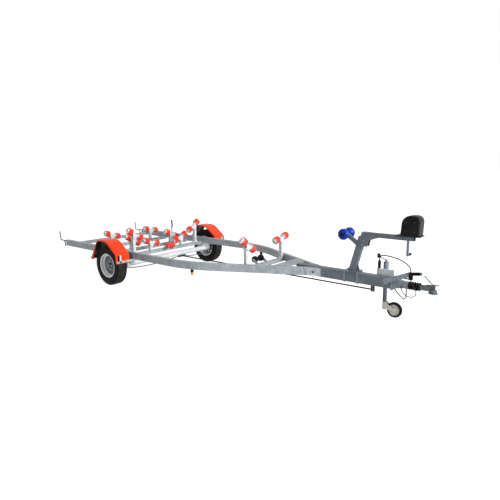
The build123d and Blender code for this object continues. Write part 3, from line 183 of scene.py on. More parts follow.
def spun(radius, along, centre, axis, steps, closed=False):
    """Surface of revolution: centre + along * axis + radius * (cos t * u + sin t * v), t once round the
    circle. The profile is closed, as a ring's section is, or open, and then mostly from axis to axis."""
    axis = np.asarray(axis, float) / np.linalg.norm(axis)
    u = np.cross(axis, UP if abs(axis[2]) < 0.9 else FORWARD)
    u /= np.linalg.norm(u)
    v = np.cross(axis, u)
    t = np.linspace(0.0, 2.0 * pi, steps, endpoint=False)
    spread = np.ones((1, steps))
    radius = np.asarray(radius, float).reshape(len(radius), -1) * spread
    along = np.asarray(along, float).reshape(len(along), -1) * spread
    around = np.cos(t)[:, None] * u + np.sin(t)[:, None] * v
    grid = np.asarray(centre) + along[..., None] * axis + radius[..., None] * around
    return grid, closed, True


def skin(name, patches, body, material, replaces=(), sharp=35.0, marks=None):
    """One mesh from patches, each a grid of points with two flags: closed along its rows, closed along its
    columns. Marks, one number for each patch, become the point attribute "inside"."""
    corners, quads, count = [], [], 0
    for grid, wrap_rows, wrap_cols in patches:
        rows, cols = grid.shape[:2]
        i, j = np.indices((rows - 1 + wrap_rows, cols - 1 + wrap_cols))
        below, beside = (i + 1) % rows, (j + 1) % cols
        quad = np.stack([i * cols + j, below * cols + j, below * cols + beside, i * cols + beside], axis=-1)
        quads.append(quad.reshape(-1, 4) + count)
        corners.append(grid.reshape(-1, 3))
        count += rows * cols
    mesh = bpy.data.meshes.new(name)
    mesh.from_pydata(np.concatenate(corners).tolist(), [], np.concatenate(quads).tolist())
    if marks is not None:
        spread = [np.full(len(part), mark) for part, mark in zip(corners, marks)]
        mesh.attributes.new("inside", "FLOAT", "POINT").data.foreach_set("value", np.concatenate(spread))
    work = bmesh.new()
    work.from_mesh(mesh)
    bmesh.ops.remove_doubles(work, verts=work.verts, dist=MERGE_DISTANCE)
    bmesh.ops.recalc_face_normals(work, faces=work.faces)
    work.to_mesh(mesh)
    work.free()
    mesh.shade_smooth()
    mesh.set_sharp_from_angle(angle=radians(sharp))
    mesh.materials.append(material)
    piece = bpy.data.objects.new(name, mesh)
    bpy.context.scene.collection.objects.link(piece)
    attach(piece, body)
    if replaces:
        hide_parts(*replaces)
    return piece


PUDDLE = 0.007
PUDDLE_STEPS = 4
WELD_RADIUS = 0.0042
WELD_SWELL = 0.16


def weld(start, end):
    """Weld bead: a thin bar between two points whose radius swells once for each puddle of the weld."""
    run = end - start
    length = np.linalg.norm(run)
    along = np.linspace(0.0, length, max(int(length / PUDDLE * PUDDLE_STEPS), 8))
    radius = WELD_RADIUS * (1.0 - WELD_SWELL + WELD_SWELL * np.cos(2 * pi * along / PUDDLE))
    return spun(np.pad(radius, 1), np.pad(along, 1, mode="edge"), start, run, 8)


RAIL_INNER = 0.760
RAIL_FOOT = 0.380
BEAM_HALF = 0.030
BEAM_TOP = 0.410
FRONT_BEAM_TOP = 0.425
BEAM_ENDS = ((-1.480, 0.430), (-0.870, BEAM_TOP), (-0.320, BEAM_TOP), (0.055, BEAM_TOP))
ARM_TIP_X = 2.9647
ARM_TIP_Y = 0.052
ARM_TIP_HEIGHTS = (0.384, 0.476)
POST_HALF = 0.022
FOOTED_POSTS = ("front", "outer")
FOOT_THICK = 0.007
stands = {joint["name"].removeprefix("swing_"): np.array(joint["pos_m"])
          for joint in frame["joints"] if joint["name"].startswith("swing_")}


def beam_under(stand):
    """The place on a cross-beam's top that lies below a stand's pivot."""
    top = FRONT_BEAM_TOP if stand.startswith("front") else BEAM_TOP
    return np.array((*stands[stand][:2], top))


welds = []
for x, top in BEAM_ENDS:
    for y in (-RAIL_INNER, RAIL_INNER):
        welds.append(weld(at(x - BEAM_HALF, y, top), at(x + BEAM_HALF, y, top)))
        for edge in (-BEAM_HALF, BEAM_HALF):
            welds.append(weld(at(x + edge, y, RAIL_FOOT), at(x + edge, y, top)))
for y in (-ARM_TIP_Y, ARM_TIP_Y):
    welds.append(weld(*[at(ARM_TIP_X, y, z) for z in ARM_TIP_HEIGHTS]))
for stand in stands:
    foot = beam_under(stand)
    if stand.startswith(FOOTED_POSTS):
        foot[2] += FOOT_THICK
    for edge in (-POST_HALF, POST_HALF):
        welds.append(weld(foot + (-POST_HALF, edge, 0.0), foot + (POST_HALF, edge, 0.0)))
        welds.append(weld(foot + (edge, -POST_HALF, 0.0), foot + (edge, POST_HALF, 0.0)))
skin("welds", welds, "chassis", galvanised)


# Axle and posts: round tube, trailing arms and backplates, and the uprights of the roller pairs.
# Bought in with a brighter, smoother zinc plating than the frame, and bolted or welded to it;
# the front and outer posts stand on bolted foot plates.

plated = finish("plated", zinc((0.50, 0.54, 0.56), (0.78, 0.81, 0.82)), Metallic=0.1)
dress(plated, "axle_beam", "roller_posts")
PAD_STEPS = 48
PAD_RINGS = np.array((0.0, 1.0, 1.0, 0.97, 0.92, 0.0))
PAD_LIFTS = np.array((0.0, 0.0, 0.55, 0.88, 1.0, 1.0))
WASHER_RADII = np.array((0.0, 1.25, 1.25, 0.0))
WASHER_STATIONS = np.array((0.0, 0.0, 0.22, 0.22))
HEAD_RADII = np.array((0.0, 1.0, 1.0, 0.8, 0.0))
HEAD_STATIONS = np.array((0.2, 0.2, 0.9, 1.0, 1.0))


def squared(wave, power):
    """A sine or cosine whose size is raised to a power below one, which squares a round outline."""
    return np.sign(wave) * np.abs(wave) ** power


def pad(centre, u, v, half_u, half_v, height, power=0.3):
    """Rounded plate: superellipse rings that close to the middle, raised by the height along u x v."""
    turn = np.linspace(0.0, 2 * pi, PAD_STEPS, endpoint=False)
    u, v = np.asarray(u, float), np.asarray(v, float)
    across = half_u * squared(np.cos(turn), power)
    upward = half_v * squared(np.sin(turn), power)
    ring = across[:, None] * u + upward[:, None] * v
    lift = PAD_LIFTS * height
    return centre + PAD_RINGS[:, None, None] * ring + lift[:, None, None] * np.cross(u, v), False, True


def hexagon(place, axis, across, height):
    """Six-sided head on a round washer: two profiles spun in 24 and 6 steps."""
    half = across / 2 / cos(pi / 6)
    return [spun(WASHER_RADII * half, WASHER_STATIONS * height, place, axis, 24),
            spun(HEAD_RADII * half, HEAD_STATIONS * height, place, axis, 6)]


FOOT_HALVES = (0.0295, 0.052)
FOOT_BOLT_OUT = 0.038
FOOT_BOLT = (0.017, 0.010)
feet, foot_bolts = [], []
for stand in stands:
    if stand.startswith(FOOTED_POSTS):
        beam = beam_under(stand)
        feet.append(pad(beam, FORWARD, LEFT, *FOOT_HALVES, FOOT_THICK))
        for y in (-FOOT_BOLT_OUT, FOOT_BOLT_OUT):
            foot_bolts += hexagon(beam + (0.0, y, FOOT_THICK), UP, *FOOT_BOLT)
skin("post_feet", feet, "chassis", plated)
skin("post_foot_bolts", foot_bolts, "chassis", plated)


# Rail ends and clamp handles: plastic caps pressed into the open rails, round the handles' spindles.
# The handles are bent round bar dipped in black plastic, the upright one with a thicker sleeve.


def rubber(base, dust):
    """Recipe of black rubber: dust in cloudy patches, a fine grain."""
    def recipe(place):
        patches = place.noise(14.0, 5.0).steps(0.45, 0.80)
        return {
            "Base Color": patches.tint(base, dust),
            "Roughness": 0.55 + 0.2 * patches,
            "Normal": place.noise(420.0).bump(0.0004, 0.4),
        }
    return recipe


DULL = 0.07
black_rubber = finish("black_rubber", rubber((0.005, 0.005, 0.006), (0.018, 0.018, 0.019)),
                      Specular_IOR_Level=DULL)
dress(black_rubber, "clamp_handles")
RAIL_MIDDLE = 0.790
RAIL_REAR = -1.600
RAIL_CAP_Z = 0.430
RAIL_CAP = (0.0485, 0.0285, 0.004)
RAIL_CAP_POWER = 0.2
CAP_NUT_Z = 0.454
CAP_NUT_OUT = 0.003
CAP_NUT = (0.026, 0.012)
caps, cap_nuts = [], []
for y in (-RAIL_MIDDLE, RAIL_MIDDLE):
    caps.append(pad(at(RAIL_REAR, y, RAIL_CAP_Z), UP, LEFT, *RAIL_CAP, power=RAIL_CAP_POWER))
    cap_nuts += hexagon(at(RAIL_REAR - CAP_NUT_OUT, y, CAP_NUT_Z), BACK, *CAP_NUT)
skin("rail_caps", caps, "chassis", black_rubber)
skin("rail_cap_nuts", cap_nuts, "chassis", plated)
UPRIGHT_HANDLE_X = -0.720
SLEEVE_BENDS = ((0.004, 0.588), (0.014, 0.632), (0.0005, 0.7145))
SLEEVE_RADII = 0.013 * np.array((0.0, 0.8, 1.0, 1.0, 0.8, 0.0))
SLEEVE_EDGE = 0.004
sleeve_points = [at(UPRIGHT_HANDLE_X + lean, RAIL_MIDDLE, z) for lean, z in SLEEVE_BENDS]
sleeves = []
for low, high in zip(sleeve_points, sleeve_points[1:]):
    length = np.linalg.norm(high - low)
    stations = (0.0, 0.0, SLEEVE_EDGE, length - SLEEVE_EDGE, length, length)
    sleeves.append(spun(SLEEVE_RADII, stations, low, high - low, 24))
skin("handle_sleeve", sleeves, "chassis", black_rubber)


# Road tyres: radial carcass with a ribbed tread.
# Moulded black rubber, brown with dust on the tread; grooves run round it and fine sipes cross the shoulders.

TYRE_RADIUS = 0.289


def from_axis(place):
    """Distance from the line through both wheels' hubs."""
    offset = {"Vector": place, "Location": (-AXLE_X, 0.0, -TYRE_RADIUS), "Scale": (1.0, 0.0, 1.0)}
    flat = place.node("ShaderNodeMapping", offset)
    return flat.node("ShaderNodeVectorMath", {0: flat}, {"operation": "LENGTH"}, output="Value")


def tyre_coat(place):
    """Recipe of a road tyre: black walls with a little dust, and a browner tread."""
    patches = place.noise(14.0, 5.0).steps(0.42, 0.78)
    tread = from_axis(place).steps(0.268, 0.280)
    walls = patches.tint((0.007, 0.007, 0.008), (0.026, 0.025, 0.024))
    worn = patches.tint((0.020, 0.017, 0.014), (0.062, 0.052, 0.042))
    return {
        "Base Color": tread.tint(walls, worn),
        "Roughness": 0.55 + 0.2 * patches,
        "Normal": place.noise(420.0).bump(0.0004, 0.4),
    }


tyre_rubber = finish("tyre_rubber", tyre_coat, Specular_IOR_Level=DULL)
TYRE_HALF = 0.080
TREAD_HALF = 0.060
TREAD_EDGE = 0.006
SHOULDER_DROP = 0.012
SHOULDER_OUT = 0.010
BEAD_RADIUS = 0.1655
BEAD_HALF = 0.062
WALL_RIBS = (0.30, 0.78)
WALL_RIB_HALF = 0.03
WALL_RIB_RISE = 0.0012
GROOVES = (-0.042, -0.015, 0.015, 0.042)
GROOVE_HALF = 0.0042
GROOVE_DEPTH = 0.0065
SIPES = 80
SIPE_STEPS = 6
SIPE_CUT_STEPS = 2
SIPE_INNER = 0.047
SIPE_DEPTH = 0.0045
SIDES = (("left", 1.0), ("right", -1.0))


def middle(node):
    """Middle of a CAD node's box."""
    low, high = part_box(node)
    return (np.array(low) + np.array(high)) / 2


def tyre_rings(centre):
    """Section from bead to bead: bulging walls, round shoulders, flat tread, cut by grooves and sipes."""
    wall = np.linspace(0.0, 1.0, 18)
    wall_r = BEAD_RADIUS + (TYRE_RADIUS - SHOULDER_DROP - BEAD_RADIUS) * wall
    bulge = np.sin(pi * np.minimum(wall * 1.02, 1.0) ** 0.85)
    wall_y = BEAD_HALF + (TYRE_HALF - BEAD_HALF) * bulge + (TREAD_HALF + SHOULDER_OUT - BEAD_HALF) * wall
    on_rib = np.abs(wall[:, None] - WALL_RIBS).min(axis=1) < WALL_RIB_HALF
    wall_y = np.minimum(wall_y, TYRE_HALF) + WALL_RIB_RISE * on_rib
    turn = np.linspace(0.0, pi / 2, 6)[1:]
    shoulder_r = TYRE_RADIUS - SHOULDER_DROP + SHOULDER_DROP * np.sin(turn)
    shoulder_y = TREAD_HALF + SHOULDER_OUT * np.cos(turn)
    tread_y = np.linspace(TREAD_HALF, -TREAD_HALF, 61)[1:-1]
    tread_r = np.full(tread_y.shape, TYRE_RADIUS)
    y = np.concatenate([wall_y, shoulder_y, tread_y, -shoulder_y[::-1], -wall_y[::-1]])
    y = np.clip(y, -TYRE_HALF, TYRE_HALF)
    r = np.concatenate([wall_r, shoulder_r, tread_r, shoulder_r[::-1], wall_r[::-1]])
    on_tread = r > TYRE_RADIUS - TREAD_EDGE
    in_groove = np.abs(y[:, None] - GROOVES).min(axis=1) < GROOVE_HALF
    groove = np.where(in_groove & on_tread, GROOVE_DEPTH, 0.0)[:, None]
    steps = np.arange(SIPES * SIPE_STEPS)
    in_sipe = ((np.abs(y) > SIPE_INNER) & on_tread)[:, None] & (steps % SIPE_STEPS < SIPE_CUT_STEPS)
    sipe = np.where(in_sipe, SIPE_DEPTH, 0.0)
    return spun(r[:, None] - np.maximum(groove, sipe), y, centre, LEFT, len(steps), closed=True)


for side, out in SIDES:
    skin(f"tread_tyre_{side}", [tyre_rings(middle(f"tyre_{side}"))], f"wheel_{side}",
         tyre_rubber, replaces=(f"tyre_{side}",), sharp=50.0)


# Wheels: pressed steel discs welded into rolled rims, with a bright rolled lip.
# Silver lacquer, with the dish painted dark as the shade that lies in it; wheel bolts, a grease cap and a
# valve stand in it.


def lacquer(place):
    """Recipe of silver lacquer: bright on the rim's barrel, and from there to the hub a mottled dark
    blue-grey, as painted shade in the dish.
    """
    dust = place.noise(16.0, 5.0)
    barrel = (from_axis(place) + 0.02 * dust).steps(0.144, 0.158)
    # The dish's dark colour is painted shade in the wheel's recess.
    shaded_dish = dust.tint((0.050, 0.060, 0.078), (0.17, 0.19, 0.225))
    return {
        "Base Color": barrel.tint(shaded_dish, (0.86, 0.87, 0.88)),
        "Roughness": 0.26 + 0.25 * dust,
        "Normal": place.noise(300.0).bump(0.0003, 0.3),
    }


wheel_silver = finish("wheel_silver", lacquer, Metallic=0.25)
rim_bright = finish("rim_bright", zinc((0.72, 0.74, 0.75), (0.90, 0.90, 0.90)), Metallic=0.3)
weathered = finish("weathered", zinc((0.10, 0.125, 0.155), (0.29, 0.335, 0.38)), Metallic=0.2)
dress(wheel_silver, "rim_left", "rim_right")
WHEEL_BOLTS = 5
WHEEL_BOLT = (0.019, 0.014)
BOLT_RING = 0.056
DISC_FACE = 0.032
LIP_RING = 0.1715
LIP_BEAD = 0.0072
LIP_FACE = 0.0672
GREASE_CAP_RADII = (0.0, 0.0335, 0.0335, 0.0322, 0.0280, 0.0180, 0.0)
GREASE_CAP_STATIONS = (0.034, 0.034, 0.052, 0.060, 0.0645, 0.0665, 0.067)
VALVE_RADII = (0.0, 0.0075, 0.0070, 0.0045, 0.0042, 0.0)
VALVE_STATIONS = (0.0, 0.0, 0.006, 0.012, 0.036, 0.037)
VALVE_X = 0.128
VALVE_FACE = 0.030
VALVE_LEAN = -0.35


def lip_ring(centre, axis):
    """Rolled lip: a small circle carried round the rim's edge."""
    turn = np.linspace(0.0, 2 * pi, 17)[:-1]
    radius = LIP_RING + LIP_BEAD * np.cos(turn)
    along = LIP_FACE + LIP_BEAD * np.sin(turn)
    return spun(radius, along, centre, axis, 96, closed=True)


for side, out in SIDES:
    hub = middle(f"tyre_{side}")
    turns = 2 * pi * np.arange(WHEEL_BOLTS) / WHEEL_BOLTS
    circle = np.stack([np.cos(turns), 0 * turns, np.sin(turns)], axis=1)
    ring = hub + BOLT_RING * circle + (0.0, out * DISC_FACE, 0.0)
    bolts = [patch for place in ring for patch in hexagon(place, (0, out, 0), *WHEEL_BOLT)]
    wheel = f"wheel_{side}"
    skin(f"wheel_bolts_{side}", bolts, wheel, plated)
    skin(f"rim_lips_{side}", [lip_ring(hub, LEFT), lip_ring(hub, RIGHT)], wheel, rim_bright)
    grease_cap = spun(GREASE_CAP_RADII, GREASE_CAP_STATIONS, hub, (0, out, 0), 40)
    skin(f"grease_cap_{side}", [grease_cap], wheel, weathered)
    valve_foot = hub + (VALVE_X, out * VALVE_FACE, 0.0)
    valve = spun(VALVE_RADII, VALVE_STATIONS, valve_foot, (VALVE_LEAN, out, 0), 14)
    skin(f"valve_{side}", [valve], wheel, black_rubber)


# Mudguards: one bent sheet each, with rounded shoulders, a lip along both edges and a skirt at the rear.
# Thermoformed orange-red plastic with the fine orange peel of the mould, its inner face painted near-black as
# the shade under it;
# bolted to bars at both feet, with an upright strap beside a black patch in front that is painted shadow of a
# gap.

GUARD_CORNERS = np.array(((-0.345, 0.355), (-0.345, 0.395), (-0.168, 0.668), (0.070, 0.668), (0.305, 0.488),
                          (0.305, 0.355)))
GUARD_BENDS = (0.090, 0.130, 0.240, 0.090)
GUARD_HALF = 0.113
GUARD_SHOULDER = 0.014
GUARD_LIP = 0.024
GUARD_WALL = 0.005
GUARD_CROWN = 0.003
GUARD_SKIRT = 0.046
GUARD_SKIRT_TOP = 0.560


def moulded(base, pale, inside_shade=None):
    """Recipe of moulded plastic: nearly even colour, slightly chalky in patches, with orange peel, and a
    painted shade colour in place of it where the mesh is marked as inside."""
    def recipe(place):
        chalk = place.noise(6.0, 4.0).steps(0.40, 0.85)
        colour = chalk.tint(base, pale)
        # Where the mesh is marked inside, the colour gives way to painted shade.
        if inside_shade:
            inside = place.node("ShaderNodeAttribute", {}, {"attribute_name": "inside"}, output="Fac")
            colour = inside.tint(colour, inside_shade)
        return {
            "Base Color": colour,
            "Roughness": 0.30 + 0.18 * chalk,
            "Normal": place.noise(140.0).bump(0.0006, 0.35),
        }
    return recipe


def bent_line(corners, bends, steps=15):
    """Straight runs joined by arcs in a plane: on each arc the normal swings evenly from one run's to the
    next's. Gives the points and the normals."""
    runs = np.diff(corners, axis=0)
    runs = runs / np.linalg.norm(runs, axis=1)[:, None]
    normals = np.stack([-runs[:, 1], runs[:, 0]], axis=1)
    points, outs = [corners[:1]], [normals[:1]]
    share = np.linspace(0.0, 1.0, steps)[:, None]
    bent = zip(corners[1:], bends, runs, runs[1:], normals, normals[1:])
    for corner, bend, run, after, first, last in bent:
        angle = np.arccos(first @ last)
        swing = (first * np.sin((1.0 - share) * angle) + last * np.sin(share * angle)) / np.sin(angle)
        side = np.sign(run[1] * after[0] - run[0] * after[1])
        points.append(corner - run * bend * np.tan(angle / 2) + side * bend * (swing - first))
        outs.append(swing)
    return np.concatenate(points + [corners[-1:]]), np.concatenate(outs + [normals[-1:]])


def carried(line, origin, u, v, side, rise):
    """A section carried along a plane line: sideways square to the plane, and rising along the line's normal.
    The rise is one row for the whole line or a row for each point of it."""
    points, outs = line
    flat = points[:, None] + outs[:, None] * np.broadcast_to(rise, (len(points), len(side)))[..., None]
    u, v = np.asarray(u, float), np.asarray(v, float)
    return origin + flat[..., :1] * u + flat[..., 1:] * v + np.asarray(side)[None, :, None] * np.cross(v, u)


guard_line = bent_line(GUARD_CORNERS, GUARD_BENDS)


def guard_section(inset):
    """Half a mudguard's section, mirrored: a crowned back, a quarter-round shoulder and an upright lip,
    which deepens evenly to a skirt towards the rear foot."""
    turn = np.linspace(0.0, pi / 2, 8)
    half = GUARD_HALF - inset
    bend = GUARD_SHOULDER - inset
    flat = np.linspace(0.0, half - bend, 8)[:-1]
    side = np.concatenate([flat, half - bend + bend * np.sin(turn), [half]])
    back = GUARD_CROWN * (flat / half) ** 2
    shoulder = GUARD_CROWN + bend * (1.0 - np.cos(turn))
    drop = np.concatenate([back, shoulder, [GUARD_LIP - inset]])
    x, z = guard_line[0].T
    rise = np.tile(-inset - np.concatenate([drop[:0:-1], drop]), (len(x), 1))
    deep = np.clip((GUARD_SKIRT_TOP - z) / (GUARD_SKIRT_TOP - GUARD_CORNERS[0, 1]), 0.0, 1.0)
    rise[:, [0, -1]] -= (GUARD_SKIRT * deep * (x < 0.0))[:, None]
    return np.concatenate([-side[:0:-1], side]), rise


SATIN = 0.25
# The guard's inner face gets a near-black colour: painted shade under the guard.
guard_coat = moulded((0.82, 0.040, 0.003), (0.88, 0.070, 0.008), inside_shade=(0.004, 0.004, 0.004))
guard_red = finish("guard_red", guard_coat, Specular_IOR_Level=SATIN)
# A black patch beside the strap: painted shadow of the gap between the bar's bent end and the guard.
GUARD_GAP_SHADE_AT = (0.303, 1.077, 0.436)
GUARD_GAP_SHADE = (0.042, 0.0140, 0.0035)
GUARD_STRAP_AT = (0.304, 1.048, 0.418)
GUARD_STRAP = (0.056, 0.013, 0.007)
GUARD_STRAP_POWER = 0.15
GUARD_BOLT_SIDES = (0.930, 1.020)
GUARD_BOLT_Z = 0.377
GUARD_BOLT_FRONT = 0.311
GUARD_BOLT_REAR = -0.351
GUARD_BOLT = (0.015, 0.008)
slots, guard_straps, guard_bolts = [], [], []
for side, out in SIDES:
    centre = at(0.0, middle(f"mudguard_{side}")[1], 0.0)
    outer, inner = [carried(guard_line, centre, FORWARD, UP, *guard_section(inset))
                    for inset in (0.0, GUARD_WALL)]
    edges = [np.stack([outer[:, k], inner[:, k]], axis=1) for k in (0, -1)]
    ends = [np.stack([outer[k], inner[k]]) for k in (0, -1)]
    shell = [(grid, False, False) for grid in (outer, inner, *edges, *ends)]
    skin(f"guard_shell_{side}", shell, "chassis", guard_red, replaces=(f"mudguard_{side}",),
         marks=(0.0, 1.0, 0.0, 0.0, 0.0, 0.0))
    mirror = np.array((1.0, out, 1.0))
    slots.append(pad(at(*GUARD_GAP_SHADE_AT) * mirror, UP, RIGHT, *GUARD_GAP_SHADE))
    guard_straps.append(pad(at(*GUARD_STRAP_AT) * mirror, UP, RIGHT, *GUARD_STRAP, power=GUARD_STRAP_POWER))
    for y in GUARD_BOLT_SIDES:
        guard_bolts += hexagon(at(GUARD_BOLT_FRONT, out * y, GUARD_BOLT_Z), FORWARD, *GUARD_BOLT)
        guard_bolts += hexagon(at(GUARD_BOLT_REAR, out * y, GUARD_BOLT_Z), BACK, *GUARD_BOLT)
skin("guard_straps", guard_straps, "chassis", plated)
# These black patches are painted shadow of a gap.
skin("guard_slots", slots, "chassis", black_rubber)
skin("guard_bolts", guard_bolts, "chassis", plated)


# Roller pairs: soft treads on pale hubs, two to a plated rocker that swings on its post's bolt.
# Orange-red polyurethane cast round a white nylon core, webbed at its face; white caps with
# black tips hold them on the rods.

roller_red = finish("roller_red", moulded((0.76, 0.036, 0.014), (0.82, 0.070, 0.035)),
                    Specular_IOR_Level=SATIN)
nylon_white = finish("nylon_white", moulded((0.88, 0.88, 0.87), (0.92, 0.92, 0.91)))
dress(plated, *[node for node in frame["nodes"] if node.startswith("rocker_")])
ROLLER_INNER = 0.062
ROLLER_WIDTH = 0.076
ROLLER_RADIUS = 0.050
ROLLER_EDGE = 0.005
ROLLER_STEPS = 60
TREAD_BANDS = 4
TREAD_GROOVE = 0.0016
TREAD_SUNK = 0.001
CORE_RADIUS = 0.0445
CORE_BORE = 0.0092
CORE_WEBS = 5
CORE_POCKET = 0.005
CORE_RADII = np.array((CORE_BORE, 0.0185, 0.0200, 0.0220, 0.0360, 0.0380, 0.0400, CORE_RADIUS))
CORE_SUNK = np.array((0.0, 0.0, 0.0015, 0.0030, 0.0030, 0.0015, 0.0005, 0.0010))
CORE_IN_POCKET = np.array((0.0, 0.0, 0.0, 1.0, 1.0, 0.0, 0.0, 0.0))
ROD_CAP_RADII = (0.0, 0.0170, 0.0170, 0.0160, 0.0125, 0.0)
ROD_CAP_STATIONS = (0.1385, 0.1385, 0.1440, 0.1465, 0.1475, 0.1475)
ROD_TIP_RADII = (0.0, 0.0085, 0.0085, 0.0070, 0.0)
ROD_TIP_STATIONS = (0.1465, 0.1465, 0.1495, 0.1505, 0.1505)
CHEEK_FACE = 0.0286
PIVOT_NUT = (0.021, 0.012)


def tread_rings(centre, axis):
    """Closed section of a soft tread: flat inside, rounded edges, three shallow grooves round the outside."""
    turn = np.linspace(0.0, pi / 2, 7)
    edge_r = ROLLER_RADIUS - ROLLER_EDGE + ROLLER_EDGE * np.sin(turn)
    edge_a = ROLLER_EDGE * (1.0 - np.cos(turn))
    across = np.linspace(ROLLER_EDGE, ROLLER_WIDTH - ROLLER_EDGE, 31)[1:-1]
    bands = np.cos(2 * pi * TREAD_BANDS * (across - ROLLER_EDGE) / (ROLLER_WIDTH - 2 * ROLLER_EDGE))
    crown = ROLLER_RADIUS - TREAD_GROOVE * (bands > 0.72)
    radius = np.concatenate([[CORE_RADIUS], edge_r, crown, edge_r[::-1], [CORE_RADIUS]])
    far = ROLLER_WIDTH - np.concatenate([edge_a[::-1], [TREAD_SUNK]])
    along = np.concatenate([[TREAD_SUNK], edge_a, across, far])
    return spun(radius, ROLLER_INNER + along, centre, axis, ROLLER_STEPS, closed=True)


def core_rings(centre, axis):
    """Closed section of a nylon core: bored boss, webbed face sunk in pockets between the webs, outer rim."""
    turn = np.linspace(0.0, 2 * pi, ROLLER_STEPS, endpoint=False)
    pocket = CORE_POCKET * np.clip(0.5 - 1.4 * np.cos(CORE_WEBS * turn), 0.0, 1.0)
    flank = CORE_SUNK[:, None] + CORE_IN_POCKET[:, None] * pocket
    radius = np.concatenate([CORE_RADII, CORE_RADII[::-1]])
    along = np.concatenate([flank, ROLLER_WIDTH - flank[::-1]])
    return spun(radius, ROLLER_INNER + along, centre, axis, ROLLER_STEPS, closed=True)


for joint in frame["joints"]:
    if joint["name"].startswith("roll_"):
        stand = joint["name"].removeprefix("roll_")
        rollers, rocker = f"rollers_{stand}", f"rocker_{stand}"
        centre, axis = np.array(joint["pos_m"]), np.array(joint["axis"])
        ends = (axis, -axis)
        treads = [tread_rings(centre, end) for end in ends]
        cores = [core_rings(centre, end) for end in ends]
        rod_caps = [spun(ROD_CAP_RADII, ROD_CAP_STATIONS, centre, end, 28) for end in ends]
        rod_tips = [spun(ROD_TIP_RADII, ROD_TIP_STATIONS, centre, end, 20) for end in ends]
        nuts = [patch for sign in (-1.0, 1.0) for patch in
                hexagon(stands[stand] + (sign * CHEEK_FACE, 0.0, 0.0), (sign, 0, 0), *PIVOT_NUT)]
        skin(f"treads_{stand}", treads, rollers, roller_red, replaces=(rollers,))
        skin(f"cores_{stand}", cores, rollers, nylon_white)
        skin(f"rod_caps_{stand}", rod_caps, rocker, nylon_white)
        skin(f"rod_tips_{stand}", rod_tips, rocker, black_rubber)
        skin(f"pivot_nuts_{stand}", nuts, rocker, plated)


# Keel rollers and the bow roller.
# Solid rubber turned on steel rods: black and red spools on the centre line, deep blue bells at the bow.

bow_blue = finish("bow_blue", moulded((0.001, 0.022, 0.29), (0.002, 0.055, 0.43)), Specular_IOR_Level=SATIN)
SPOOL_STEPS = 56
SPOOL_BORE = 0.0092
SPOOL_END = 0.044
SPOOL_EDGE = 0.014
SPOOL_WAIST = 0.18
SPOOL_FLARE = 0.36
FRONT_WAIST = 0.026
AXLE_WAIST = 0.030


def spool_rings(node, waist_radius):
    """Spool: radius falls from round ends to the waist by a smooth step of the distance from the middle."""
    low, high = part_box(node)
    half = (high[1] - low[1]) / 2
    along = np.linspace(-half, half, 49)
    share = np.clip((np.abs(along) / half - SPOOL_WAIST) / SPOOL_FLARE, 0.0, 1.0)
    rise = share * share * (3.0 - 2.0 * share)
    edge = np.clip((half - np.abs(along)) / SPOOL_EDGE, 0.0, 1.0)
    rounding = SPOOL_EDGE * (1.0 - np.sqrt(1.0 - (1.0 - edge) ** 2))
    radius = waist_radius + (SPOOL_END - waist_radius) * rise - rounding
    radius = np.concatenate([[SPOOL_BORE], radius, [SPOOL_BORE]])
    along = np.concatenate([[-half], along, [half]])
    return spun(radius, along, middle(node), LEFT, SPOOL_STEPS, closed=True)


skin("spool_front", [spool_rings("keel_roller_front", FRONT_WAIST)], "keel_roller_front",
     black_rubber, replaces=("keel_roller_front",))
skin("spool_axle", [spool_rings("keel_roller_axle", AXLE_WAIST)], "keel_roller_axle",
     roller_red, replaces=("keel_roller_axle",))
BOW_RADIUS = 0.066
BOW_NECK = 0.034
BOW_BORE = 0.0102
BOW_INNER = 0.021
BOW_WIDTH = 0.084
BOW_SWELL = 0.62
BOW_LIP = 0.022
BOW_FACE = 0.043
BOW_FACE_STEPS = 12
BOW_RING_DEPTH = 0.0022
BOW_CAP_RADII = (0.0, 0.0205, 0.0205, 0.0185, 0.0120, 0.0)
BOW_CAP_STATIONS = np.array((-0.0105, -0.0105, -0.003, 0.0005, 0.0025, 0.003))


def bell_rings(axis):
    """Bell of the bow roller: a quarter-sine swell from the neck, a round lip, and rings sunk in its face."""
    swell = np.linspace(0.0, 1.0, 16)
    body_r = BOW_NECK + (BOW_RADIUS - BOW_NECK) * np.sin(swell * pi / 2) ** 0.8
    body_a = BOW_WIDTH * BOW_SWELL * swell
    turn = np.linspace(0.0, pi / 2, 9)[1:]
    lip_r = BOW_RADIUS - BOW_LIP * (1.0 - np.cos(turn))
    lip_a = BOW_WIDTH * (BOW_SWELL + (1.0 - BOW_SWELL) * np.sin(turn))
    face_r = np.linspace(BOW_FACE, BOW_BORE, BOW_FACE_STEPS)
    face_a = BOW_WIDTH - BOW_RING_DEPTH * (np.arange(BOW_FACE_STEPS) % 4 > 1)
    radius = np.concatenate([[BOW_BORE], body_r, lip_r, face_r])
    along = np.concatenate([[0.0], body_a, lip_a, face_a])
    return spun(radius, BOW_INNER + along, middle("bow_roller"), axis, SPOOL_STEPS, closed=True)


skin("bow_bells", [bell_rings(axis) for axis in (LEFT, RIGHT)], "bow_roller", bow_blue,
     replaces=("bow_roller",))
bow_axis = middle("bow_roller") * (1.0, 0.0, 1.0)
bow_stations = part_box("winch_post")[1][1] + BOW_CAP_STATIONS
bow_caps = [spun(BOW_CAP_RADII, bow_stations, bow_axis, axis, 32) for axis in (LEFT, RIGHT)]
skin("bow_caps", bow_caps, "chassis", black_rubber)


# Winch post and arm: leaning box post on a base plate, held to the drawbar by two flat straps.
# Dull galvanised box section; cheek plates are bolted through at the corner and plastic caps close the arm.

